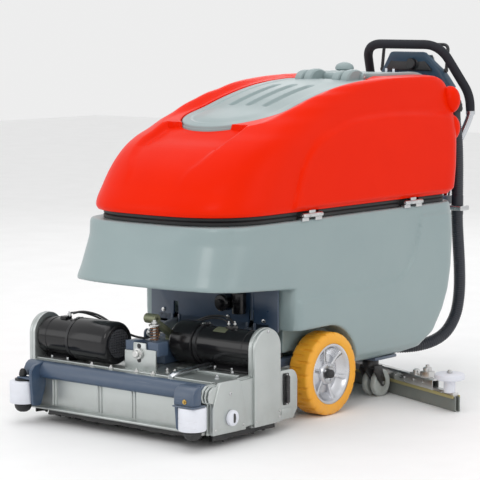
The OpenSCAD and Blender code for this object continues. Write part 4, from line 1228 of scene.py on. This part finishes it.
# compression spring on its stud, with the olive strut behind
springShape = {"x": 43, "y": -618, "low": 254, "high": 308, "radius": 13, "wire": 1.9, "turns": 6.5}
s = springShape
wound = tau * s["turns"]
coil = [[s["x"] + s["radius"] * math.cos(a), s["y"] + s["radius"] * math.sin(a),
         s["low"] + (s["high"] - s["low"]) * a / wound] for a in np.linspace(0, wound, 160)]
finished(tube("deckSpring", coil, s["wire"], 2), "copper_spring", "deck", "deck_spring", angle=60)
stud = [bar("stud", (s["x"], s["y"], 184), (s["x"], s["y"], 326), 5, 20, 0.8),
        bar("seat", (s["x"], s["y"], 246), (s["x"], s["y"], 252), 18, 32, 1),
        bar("seat", (s["x"], s["y"], 308), (s["x"], s["y"], 313), 17, 32, 1),
        bar("nut", (s["x"], s["y"], 313), (s["x"], s["y"], 321), 9, 6, 1),
        bar("nut", (s["x"], s["y"], 186), (s["x"], s["y"], 196), 11, 6, 1)]
piece("springStud", stud, "zinc_steel", "deck")
strut = [tube("strut", [[10, -592, 322], [10, -498, 262]], 12, 3),
         turned("strutEye", [(5, -22), (13, -22), (14.5, -20), (14.5, 20), (13, 22), (5, 22), (5, -22)],
                (10, -592, 324), "X", 32),
         turned("strutEye", [(5, -20), (12, -20), (13, -18), (13, 18), (12, 20), (5, 20), (5, -20)],
                (10, -498, 262), "X", 32), box("strutFoot", (-10, -512, 246), (30, -484, 254), 2)]
piece("deckLink", strut, "olive_link", "deck", "deck_link")
arms = []
for side in (-1, 1):
    ends = [(-418, 244, 13), (-260, 274, 13)]
    direction = math.atan2(30, 158)
    shape = arcPoints(ends[0][0], ends[0][1], 13, direction + math.pi / 2, direction + 1.5 * math.pi, 16)
    shape += arcPoints(ends[1][0], ends[1][1], 13, direction - math.pi / 2, direction + math.pi / 2, 16)
    arms.append(plate("arm", shape, side * 150 - 7, side * 150 + 7, "X", 1.5))
arms.append(bar("armTube", (-143, -384, 250), (143, -384, 250), 9, 32))
piece("liftArms", arms, "zinc_steel", "lift_arms", "lift_arms")
print("deck is made")

# brushes: core, shafts and spiral rows of short bristle tufts
brush = {"radius": 75, "core": 46, "rows": 9, "along": 46, "half": 334, "twist": 1.6}


def makeBrush(name, y, flip):
    b = brush
    core = turned("core", [(0, -348), (10, -348), (10, -336), (b["core"], -336), (b["core"], 336), (10, 336),
                           (10, 353), (0, 353)], (0, y, 80), "X", 48)
    pulley = turned("pulley", [(10, 354), (33, 354), (33, 366), (10, 366), (10, 354)], (0, y, 80), "X", 48)
    deselect()
    bpy.ops.mesh.primitive_cone_add(vertices=6, radius1=3.2 * mm, radius2=5.6 * mm,
                                    depth=(b["radius"] - b["core"] + 3) * mm,
                                    location=at(0, 0, (b["radius"] + b["core"] - 3) / 2))
    seed = settled("tuft")
    coords = np.array([v.co for v in seed.data.vertices])
    polys = [list(p.vertices) for p in seed.data.polygons]
    points, faces = [], []
    for k in range(b["along"]):
        x = (-b["half"] + 6 + (2 * b["half"] - 12) * k / (b["along"] - 1)) * mm
        for row in range(b["rows"]):
            a = tau * (row / b["rows"] + b["twist"] * (k / b["along"] - 0.5) * (1 if k < b["along"] / 2 else -1))
            c, s2 = math.cos(a), math.sin(a)
            start = len(points)
            points += [(p[0] + x, p[1] * c - p[2] * s2 + y * mm,
                        p[1] * s2 + p[2] * c + 80 * mm) for p in coords]
            faces += [[start + i for i in face] for face in polys]
    bpy.data.objects.remove(seed)
    bunch = meshed("tufts", points, faces=faces)
    parts = [core, pulley, bunch]
    whole = joined(name, parts)
    if flip:
        mirrored(whole)
    return whole


finished(makeBrush("brushRear", -495, False), "bristle", "brush_rear", "brush_rear")
finished(makeBrush("brushFront", -660, True), "bristle", "brush_front", "brush_front")
# debris hopper that slides out on the near side, with a black grip
shape = [(-414, 35), (-414, 160), (-411, 170), (-400, 176)] + arcPoints(-362, 142, 34, math.pi / 2, 0,
        12) + [(-328, 60), (-345, 35)]
hopper = [carved(plate("hopper", shape, -338, 345, "X", 2, 3),
                 [box("cut", (-330, -424, 41), (337, -336, 150))]),
          plate("hopperFace", fattened(shape, -372, 105, 3), 340, 347, "X", 2, 3),
          box("tagPlate", (347, -404, 48), (348.4, -352, 66), 0.6)]
piece("debrisHopper", hopper, "alloy_plate", "debris_hopper", "debris_hopper")
grip = [box("hopperGrip", (346, -394, 76), (352, -372, 170), 2, 3),
        box("gripBar", (350, -391, 82), (361, -376, 164), 4, 3)]
piece("hopperGrip", grip, "black_plastic", "debris_hopper")
piece("hopperScrews", [bar("screw", (352, -383, z), (353.6, -383, z), 3, 12, 0.4) for z in (80, 166)],
      "zinc_steel", "debris_hopper")
print("brushes and hopper are made")

# squeegee: two swept halves, each with a channel, blades, a clamp strip and bolts
squeegee = {"half": 584, "sweep": 21.9, "apex": 405}
halfLength = squeegee["half"] / math.cos(math.radians(squeegee["sweep"]))


def onHalf(obj, side):  # from a straight bar along +X to one swept half
    obj.data.transform(Matrix.Translation(at(0, squeegee["apex"],
                                             0)) @ Matrix.Rotation(-math.radians(squeegee["sweep"]), 4, "Z"))
    if side < 0:
        mirrored(obj)
    return obj


def trimmed(obj):  # cuts a swept half off at the middle plane
    pick(obj)
    bpy.ops.object.mode_set(mode="EDIT")
    bpy.ops.mesh.select_all(action="SELECT")
    bpy.ops.mesh.bisect(plane_co=(0.0002, 0, 0), plane_no=(1, 0, 0), clear_inner=True, use_fill=True)
    bpy.ops.object.mode_set(mode="OBJECT")
    return obj


def bothHalves(name, make):
    halves = []
    for side in (1, -1):
        part = trimmed(onHalf(make(), 1))
        if side < 0:
            mirrored(part)
        halves.append(part)
    return joined(name, halves)


channel = [(-13, 50), (-13, 79), (-11, 82), (11, 82), (13, 79), (13, 50), (10.5, 50), (10.5, 78), (-10.5, 78),
           (-10.5, 50)]
bodyParts = [bothHalves("channel", lambda: plate("channel", channel, -70, halfLength - 120, "X", 0.8)),
             bothHalves("holder", lambda: box("holder", (-70, -11, 44), (halfLength - 10, 11, 58), 1.2))]
port = [turned("portPlate", [(0, 82.2), (33, 82.2), (34, 83.5), (34, 87), (32, 88.5), (0, 88.5)], (0, 422, 0),
               "Z", 48),
        turned("portTube", [(19, -22), (24, -22), (24, 20), (19, 20), (19, -22)], (0, 422, 106.5), "Y", 40)]
for side in (-1, 1):
    port.append(bar("post", (side * 553, 172, 54), (side * 553, 172, 127), 6, 24, 1))
    port.append(turned("postNut", [(6, 117.6), (10, 117.6), (10, 123), (6, 124)], (side * 553, 172, 0), "Z", 6))
    port.append(box("blockFoot", (side * 430 - 18, 216, 82), (side * 430 + 18, 248, 102), 2))
    port.append(turned("blockBolt", [(0, 102), (13, 102), (14, 104), (14, 112), (11, 114), (6, 115), (6, 122),
                                     (0, 123)], (side * 430, 232, 0), "Z", 32))
piece("squeegeeBody", bodyParts + port, "zinc_steel", "squeegee", "squeegee_body")
blades = bothHalves("squeegeeBlades", lambda: joined("b",
        [plate("rear", [(5, 1), (5, 46), (9, 46), (9, 1.6), (8, 1)], -70, halfLength, "X"),
         plate("front", [(-9, 1.6), (-9, 46), (-5, 46), (-5, 1), (-8, 1)], -70, halfLength, "X")]))
finished(blades, "gum_blade", "squeegee", "squeegee_blades")
strips = bothHalves("clampStrips", lambda: joined("s",
                                                  [box("strip", (-70, -14, 40), (halfLength - 6, -9.4, 50),
                                                          0.8), box("strip", (-70, 9.4, 40),
                                                                  (halfLength - 6, 14, 50), 0.8)]))
finished(strips, "gum_blade", "squeegee", look="clamp_strip")
studs = []
for side in (-1, 1):
    for k in range(11):
        x = 40 + k * 52
        head = joined("head", [bar("head", (x, -16.5, 66), (x, -12.5, 66), 4.2, 6, 0.6),
                               bar("head", (x, 12.5, 66), (x, 16.5, 66), 4.2, 6,
                                   0.6)] if x < halfLength - 130 else [bar("head", (x, -14, 51), (x, -10.5, 51),
                                           3.6, 6, 0.5)])
        studs.append(onHalf(head, side))
piece("squeegeeStuds", studs, "zinc_steel", "squeegee")
knobs = []
for side in (-1, 1):
    x = side * 140
    star = turned("starKnob", [(0, 82), (7, 82), (7, 97), (16, 98), (19, 101), (19, 108), (16, 112), (8, 114),
                               (0, 114)], (x, 349, 0), "Z", 60)
    co = coords(star)
    a = np.arctan2(co[:, 1] - 349, co[:, 0] - x)
    r = np.hypot(co[:, 1] - 349, co[:, 0] - x)
    k = np.where(r > 12, 1 - 0.07 * (1 + np.cos(6 * a)), 1)
    co[:, 0], co[:, 1] = x + (co[:, 0] - x) * k, 349 + (co[:, 1] - 349) * k
    setCoords(star, co)
    knobs.append(star)
    knobs.append(turned("nutCap", [(0, 82), (14, 82), (14, 86), (11, 87), (11, 96), (6, 100), (0, 101)],
                        (side * 372, 256, 0), "Z", 24))
    knobs.append(box("lugPlate", (side * 372 - 20, 246, 82), (side * 372 + 20, 268, 88), 1.5))
piece("squeegeeKnobs", knobs, "zinc_steel", "squeegee", "squeegee_knobs")
armParts = []
for side in (-1, 1):
    lo, hi = span(side, 44, 60)
    armParts.append(plate("arm", arcPoints(-30, 112, 15, math.pi / 2, 1.5 * math.pi, 14) + [(-20, 104),
            (320, 104), (332, 82), (384, 82), (384, 120), (-20, 121)], lo, hi, "X", 2))
armParts.append(box("armBridge", (-44, 300, 104), (44, 320, 120), 2))
piece("squeegeeArm", armParts, "navy_paint", "squeegee", "squeegee_arm")
endRoller = turned("squeegeeRollerLeft", [(6.3, 57), (16, 57), (18, 59), (18, 95), (20, 97), (42, 97.5),
                                          (46, 99.5), (47, 103), (47, 111), (46, 114.5), (42, 117), (10, 117),
                                          (6.3, 117), (6.3, 57)], (553, 172, 0), "Z", 64)
endRight = copied(endRoller, "squeegeeRollerRight", flip=True)
finished(endRoller, "white_roller", "squeegee_roller_left", "squeegee_roller_left")
finished(endRight, "white_roller", "squeegee_roller_right", "squeegee_roller_right")
print("squeegee is made")

# handle: foam grip, bright tubes, brackets
handle = {"corners": [(-200, 811.5, 880), (-200, 807, 940), (-150, 697, 1109), (150, 697, 1109),
                      (200, 807, 940), (200, 811.5, 880)], "grip": 15.5, "tube": 12.5}


def cornered(points, radii):  # rounds the inner corners with arcs
    route = [list(points[0])]
    for k in range(1, len(points) - 1):
        p, before, after = (Vector(points[i]) for i in (k, k - 1, k + 1))
        a, b = (before - p).normalized(), (after - p).normalized()
        for t in np.linspace(0, 1, 11):
            route.append(list(p + radii[k - 1] * (a * (1 - t) ** 2 + b * t ** 2)))
    return route + [list(points[-1])]


gripRoute = evenRoute(cornered(handle["corners"], (38, 62, 62, 38)), 9)
widths = [1 - 0.1 * math.exp(-i / 0.8) for i in range(len(gripRoute))]
widths = [min(a, b) for a, b in zip(widths, widths[::-1])]
finished(tube("handleGrip", gripRoute, handle["grip"], 5, widths), "foam_grip", "root", "handle_grip", angle=60)
tubes = []
for side in (-1, 1):
    route = cutCorners([[side * 200, 811.5, 900], [side * 200, 810, 862], [side * 161, 764, 740],
                        [side * 157, 735, 584]], 3)
    tubes.append(tube("handleTube", route, handle["tube"], 5))
    tubes.append(turned("ferrule", [(12.6, 874), (15.8, 874), (16, 876), (16, 886), (12.6, 886)],
                        (side * 200, 811.5, 0), "Z", 32))
piece("handleTubes", tubes, "bright_tube", "root", "handle_tube", angle=50)
feet = [box("handleFoot", (side * 157 - 13, 612, 574), (side * 157 + 13, 748, 604), 3, 3) for side in (-1, 1)]
piece("handleFeet", feet, "navy_paint", "root")

# console: a faceted pod with a sloping face, on a pillar
def makeConsole():
    n = 96
    loops = []
    for z, half, front, back, power in ((950, 134, 742, 806, 4), (958, 146, 744, 814, 4),
                                        (966, 150, 747, 818, 4.5), (992, 137, 743, 804, 5),
                                        (1019, 123, 738, 791, 5), (1034, 109, 733, 780, 5),
                                        (1060, 87, 725, 762, 5), (1074, 76, 721, 750, 4.5),
                                        (1081, 70, 722, 745, 4), (1083.5, 60, 726, 740, 4)):
        loops.append(level(outline(half, front, back, (back - front) / 2, (back - front) / 2, power, power, n),
                           z))
    return ringed("console", loops)


console = makeConsole()
pillar = [box("pillar", (-110, 700, 600), (110, 752, 956), 8, 3),
          box("pillarFoot", (-90, 630, 560), (90, 722, 604), 6, 3),
          plate("gusset", [(752, 700), (752, 940), (772, 952), (772, 940), (760, 700)], -60, 60, "X", 3)]
# brow and knob on the face towards the tank
brow = plate("brow", [(-96, 1020), (96, 1020), (60, 1068), (-60, 1068)], 728, 738, "Y", 4, 3)
frontKnob = turned("frontKnob", [(0, -18), (16, -18), (18, -16), (18, -6), (22, -4), (22, 0), (0, 0)],
                   (20, 731, 1044), "Y", 40)
piece("consoleBody", [console] + pillar, "console_plastic", "root", "console_body", angle=40)
piece("consoleFront", [brow, frontKnob], "black_plastic", "root")


def onFace(obj, x):
    obj.data.transform(Matrix.Translation(at(x, 769, 1053.5)) @ Matrix.Rotation(-math.radians(54.5), 4, "X"))
    return obj


panelPlate = onFace(box("facePlate", (-84, -26, -3), (84, 24, 0.4), 2), 0)
finished(panelPlate, "alloy_plate", "root")
speed = turned("speedKnob", [(0, 0.6), (15, 0.6), (15, 3), (13, 5), (12, 15), (10.5, 16.6), (0, 16.6)],
               (0, 0, 0), "Z", 60)
co = np.array([v.co for v in speed.data.vertices])
a, r = np.arctan2(co[:, 1], co[:, 0]), np.hypot(co[:, 0], co[:, 1])
k = np.where((r > 0.011) & (co[:, 2] > 0.004), 1 - 0.035 * (np.cos(15 * a) > 0), 1)
co[:, :2] *= k[:, None]
speed.data.vertices.foreach_set("co", co.ravel())
finished(onFace(speed, 60), "black_plastic", "speed_knob", "speed_knob")
finished(onFace(box("speedMark", (-0.8, 3, 16.4), (0.8, 10, 17), 0.3), 60), "white_roller", "speed_knob")
finished(onFace(turned("keySwitch", [(0, 0.6), (9, 0.6), (9, 5), (7.5, 8), (0, 8)], (0, 0, 0), "Z", 40), 0),
         "zinc_steel", "key_switch", "key_switch")
finished(onFace(joined("keyBow", [box("keyBlade", (-1, -4, 7.5), (1, 4, 12)),
                                  box("keyHead", (-2, -7.5, 11), (2, 7.5, 18), 1.2, 3)]), 0), "black_plastic",
                                  "key_switch")
finished(onFace(turned("stopButton", [(0, -7), (10, -7), (10, 4), (14, 6), (14, 10), (12, 13), (7, 14),
                                      (0, 14.2)], (0, 0, 0), "Z", 48), -60), "red_button", "stop_button",
                                      "stop_button")
bail = tube("driveBail", cornered([(-132, 765, 1022), (-132, 777, 1108), (132, 777, 1108), (132, 765, 1022)],
                                  (22, 22)), 5.6, 4)
eyes = [turned("bailEye", [(0, -8.6 / 2), (7, -8.6 / 2), (8, -3), (8, 3), (7, 8.6 / 2), (0, 8.6 / 2)],
               (side * 131.3, 765, 1022), "X", 32) for side in (-1, 1)]
piece("driveBail", [bail] + eyes, "black_plastic", "drive_bail", "drive_bail", angle=50)
print("handle and console are made")

# hoses: corrugated, with a smooth cuff at each end
hose = {"radius": 20.5, "pitch": 7.5, "depth": 0.09}
upperRoute = [[200, 715, 888], [200, 715, 868], [200, 733, 790], [200, 738, 700], [200, 738, 640],
              [200, 738, 572]]
lowerRoute = [[200, 738, 572], [200, 738, 520], [200, 746, 450], [200, 757, 360], [201, 757, 270],
              [199, 736, 190], [188, 672, 128], [142, 578, 104], [50, 505, 106], [0, 480, 106], [0, 442, 106.5]]


def makeHose(name, route):
    step = hose["pitch"] / 5
    line = evenRoute(cutCorners(route, 3), step)
    count = len(line)
    widths = []
    for i in range(count):
        ripple = hose["depth"] * (0.5 - 0.5 * math.cos(tau * i * step / hose["pitch"]))
        end = min(i, count - 1 - i) * step
        widths.append(1 - (ripple if end > 32 else 0.0) if end > 1 else 0.97)
    return tube(name, line, hose["radius"], 5, widths)


upperHose, lowerHose = makeHose("hoseUpper", upperRoute), makeHose("hoseLower", lowerRoute)
for obj, a, b, start, end, node in ((upperHose, "upper_tank", "root", at(200, 715, 880), at(200, 738, 600),
                                     "hose_upper"),
                                    (lowerHose, "root", "squeegee", at(200, 740, 420), at(0, 450, 106),
                                     "hose_lower")):
    pick(obj)
    obj.data.materials.append(finishes["hose_rubber"])
    bpy.ops.object.shade_smooth_by_angle(angle=math.radians(60))
    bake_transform(obj)
    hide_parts(node)
# elbow where the hose leaves the upper tank, and the clip at the body
elbow = [turned("elbowRun", [(0, 626), (24, 626), (26, 630), (26, 700), (25.6, 712), (0, 716)], (196, 0, 914),
                "Y", 40), ball("elbowBend", (198, 714, 914), 26),
         turned("elbowDrop", [(0, 914), (26, 914), (26, 893), (25, 888), (21, 888), (0, 889)], (200, 715, 0),
                "Z", 40),
         turned("elbowBand", [(25.5, 894), (27.6, 894), (27.6, 902), (25.5, 902), (25.5, 894)], (200, 715, 0),
                "Z", 40), turned("elbowFlange", [(0, 640), (32, 640), (34, 643), (34, 650), (32, 653),
                                                 (0, 653)], (196, 0, 914), "Y", 40)]
piece("hoseElbow", elbow, "black_rubber", "upper_tank", "hose_elbow")
clip = carved(box("clip", (92, 712, 556), (232, 764, 572), 4, 3),
              [bar("cut", (200, 738, 550), (200, 738, 580), 21, 40)])
piece("bodyFasteners", [clip] + [bar("bolt", (side * 157, y, 570), (side * 157, y, 576), 6, 6,
                                     0.8) for side in (-1, 1) for y in (665, 700)]
                + [bar("bolt", (x, -304.5, 300), (x, -299, 300), 7, 6, 0.8) for x in (-200, 60, 200)],
                "zinc_steel", "root", "body_fasteners")
# hinges in the seam: barrels, leaves and pins
lowerParts, upperParts = [], []
for y in (-199, 330):
    for d in (-48, 16):
        lowerParts.append(turned("barrel", [(3, y + d), (6.4, y + d), (7, y + d + 1), (7, y + d + 31),
                                            (6.4, y + d + 32), (3, y + d + 32), (3, y + d)], (303, 0, 619), "Y",
                                            32))
        lowerParts.append(box("leaf", (276, y + d, 606), (299, y + d + 32, 611), 1))
        lowerParts.append(box("leafEdge", (297, y + d, 602), (304, y + d + 32, 618), 1.5))
    lowerParts.append(bar("pin", (303, y - 51, 619), (303, y + 51, 619), 3, 20, 0.6))
    upperParts.append(turned("barrel", [(3.06, y - 15.4), (6.4, y - 15.4), (7, y - 14.6), (7, y + 14.6),
                                        (6.4, y + 15.4), (3.06, y + 15.4), (3.06, y - 15.4)], (303, 0, 619),
                                        "Y", 32))
    upperParts.append(box("leaf", (276, y - 15.4, 627), (303, y + 15.4, 631.8), 1))
    upperParts.append(box("leafEdge", (296, y - 15.4, 622), (304.5, y + 15.4, 634), 1.5))
piece("hingeLower", lowerParts, "zinc_steel", "root", "hinge_lower")
piece("hingeUpper", upperParts, "zinc_steel", "upper_tank", "hinge_upper")
print("hoses and hinges are made")

# chassis behind the deck
frameParts = [carved(box("bulkhead", (-252, -300, 270), (252, -293, 401), 1.5),
                     [box("cut", (side * 150 - 10, -310, 262), (side * 150 + 10, -280, 330)) for side in (-1,
                             1)]),
              box("shelf", (-140, -300, 262), (140, -270, 291), 2),
              plate("fold", [(150, 300), (150, 401), (158, 401), (158, 300)], -304, -299, "Y", 1)]
for side in (-1, 1):
    lo, hi = span(side, 160, 220)
    frameParts.append(box("shelf", (lo, -300, 262), (hi, -270, 291), 2))
    for x in (132, 160):
        lo, hi = span(side, x, x + 8)
        frameParts.append(plate("cheek", [(-304, 262), (-304, 290), (-270, 289), (-260, 290), (-249, 285),
                                          (-245, 274), (-249, 263), (-260, 259), (-270, 259)], lo, hi, "X", 1))
    frameParts.append(bar("pivot", (side * 128, -260, 274), (side * 172, -260, 274), 8, 32, 1))
    lo, hi = span(side, 182, 220)
    frameParts.append(box("leg", (lo, -300, 154), (hi, -262, 291), 3))
    frameParts.append(box("rail", (lo, -264, 154), (hi, -36, 178), 3))
    frameParts.append(box("drop", (lo, -60, 113), (hi, -36, 156), 2))
    lo, hi = span(side, 182, 210)
    frameParts.append(box("rail", (lo, -40, 113), (hi, 152, 138), 3))
    lo, hi = span(side, 168, 288)
    frameParts.append(carved(box("casterPlate", (lo, 150, 128), (hi, 266, 138), 2),
                             [bar("cut", (side * 228, 208, 120), (side * 228, 208, 145), 12.1, 40)]))
piece("chassisFrame", frameParts, "navy_paint", "root", "chassis_frame")
mount = []
for side in (-1, 1):
    lo, hi = span(side, 66, 74)
    mount.append(box("ear", (lo, -52, 95), (hi, -8, 138), 2))
    lo, hi = span(side, 74, 182)
    mount.append(box("wing", (lo, -52, 113), (hi, -8, 121), 2))
    mount.append(bar("stub", (side * 43, -30, 112), (side * 78, -30, 112), 8, 32, 1))
piece("squeegeeMount", mount, "navy_paint", "root", "squeegee_mount")
drive = [turned("gearCase", [(0, -92), (52, -92), (58, -86), (58, -6), (62, -4), (62, 4), (58, 6), (58, 86),
                             (52, 92), (0, 92)], (0, -115, 127), "X", 64),
         turned("axleTube", [(0, -236), (24, -236), (26, -234), (26, 234), (24, 236), (0, 236)], (0, -115, 127),
                "X", 48), bar("axle", (-298, -115, 127), (298, -115, 127), 12, 32, 1.5),
         turned("driveMotor", [(0, -70), (42, -70), (42, 96), (38, 103), (14, 105), (0, 105)], (0, 0, 119), "Y",
                64)]
for side in (-1, 1):
    for lo, hi in (((60, -135, 176), (90, -95, 195)), ((184, -129, 140), (218, -101, 154))):
        a, b = sorted((side * lo[0], side * hi[0]))
        drive.append(box("saddle", (a, lo[1], lo[2]), (b, hi[1], hi[2]), 2))
piece("transaxle", drive, "zinc_steel", "root", "transaxle")
lift = [turned("liftMotor", [(0, -300), (24, -300), (26, -303), (26, -352), (22, -356), (12, -357), (12, -368),
                             (0, -368)][::-1], (75, 0, 350), "Y", 48),
        turned("relay", [(0, 318), (20, 318), (22, 321), (22, 380), (19, 384), (0, 384)], (120, -322, 0), "Z",
               40)]
piece("deckActuator", lift, "black_motor", "root", "deck_actuator")
cells = []
for sx in (-1, 1):
    for k in range(3):
        x0, y0 = (-203 if sx < 0 else 3), -222 + 230 * k
        case = box("case", (x0, y0, 200), (x0 + 200, y0 + 226, 444), 4, 3)
        cover = box("caseLid", (x0 + 2, y0 + 2, 444), (x0 + 198, y0 + 224, 450), 3, 3)
        caps = [turned("cellCap", [(0, 449), (11, 449), (11, 454), (9, 456), (0, 456)],
                       (x0 + 30 + 28 * i, y0 + 170, 0), "Z", 20) for i in range(6)]
        cells += [case, cover] + caps
piece("batteryCases", cells, "black_plastic", "root", "batteries")
posts = [turned("terminalPost", [(0, 449), (11, 449), (9, 452), (8, 468), (0, 468)],
                ((-203 if sx < 0 else 3) + t, -222 + 230 * k + 40, 0), "Z", 20) for sx in (-1,
                        1) for k in range(3) for t in (40, 160)]
piece("batteryPosts", posts, "zinc_steel", "root")
vacuum = [turned("vacuumCan", [(0, 800), (83, 800), (85, 803), (85, 896), (82, 900), (62, 902), (62, 980),
                               (58, 985), (0, 985)], (0, 500, 0), "Z", 64)]
piece("vacuumMotor", vacuum, "zinc_steel", "upper_tank", "vacuum_motor")
drums = []
for side, y in ((1, -495), (-1, -660)):
    def belt(rBig, rSmall):
        top = arcPoints(y, 250, rSmall, 0, math.pi, 20)
        return top + arcPoints(y, 80, rBig, math.pi, tau, 24)
    lo, hi = span(side, 354, 366)
    drums.append(carved(plate("belt", belt(36.4, 25.7), lo, hi, "X"),
                        [plate("cut", belt(33.4, 22.7), lo - 5, hi + 5, "X")]))
    seed = turned("motorPulley", [(0, 346.3), (8, 346.3), (8, 354), (22.3, 354), (22.3, 366), (0, 366)],
                  (0, y, 250), "X", 48)
    if side < 0:
        mirrored(seed)
    which = "rear" if side > 0 else "front"
    seed.name = "pulley" + which.capitalize()
    finished(seed, "zinc_steel", "pulley_" + which, "pulley_" + which)
piece("driveBelts", drums, "black_rubber", "deck", "drive_belts")
print("chassis and inner parts are made")
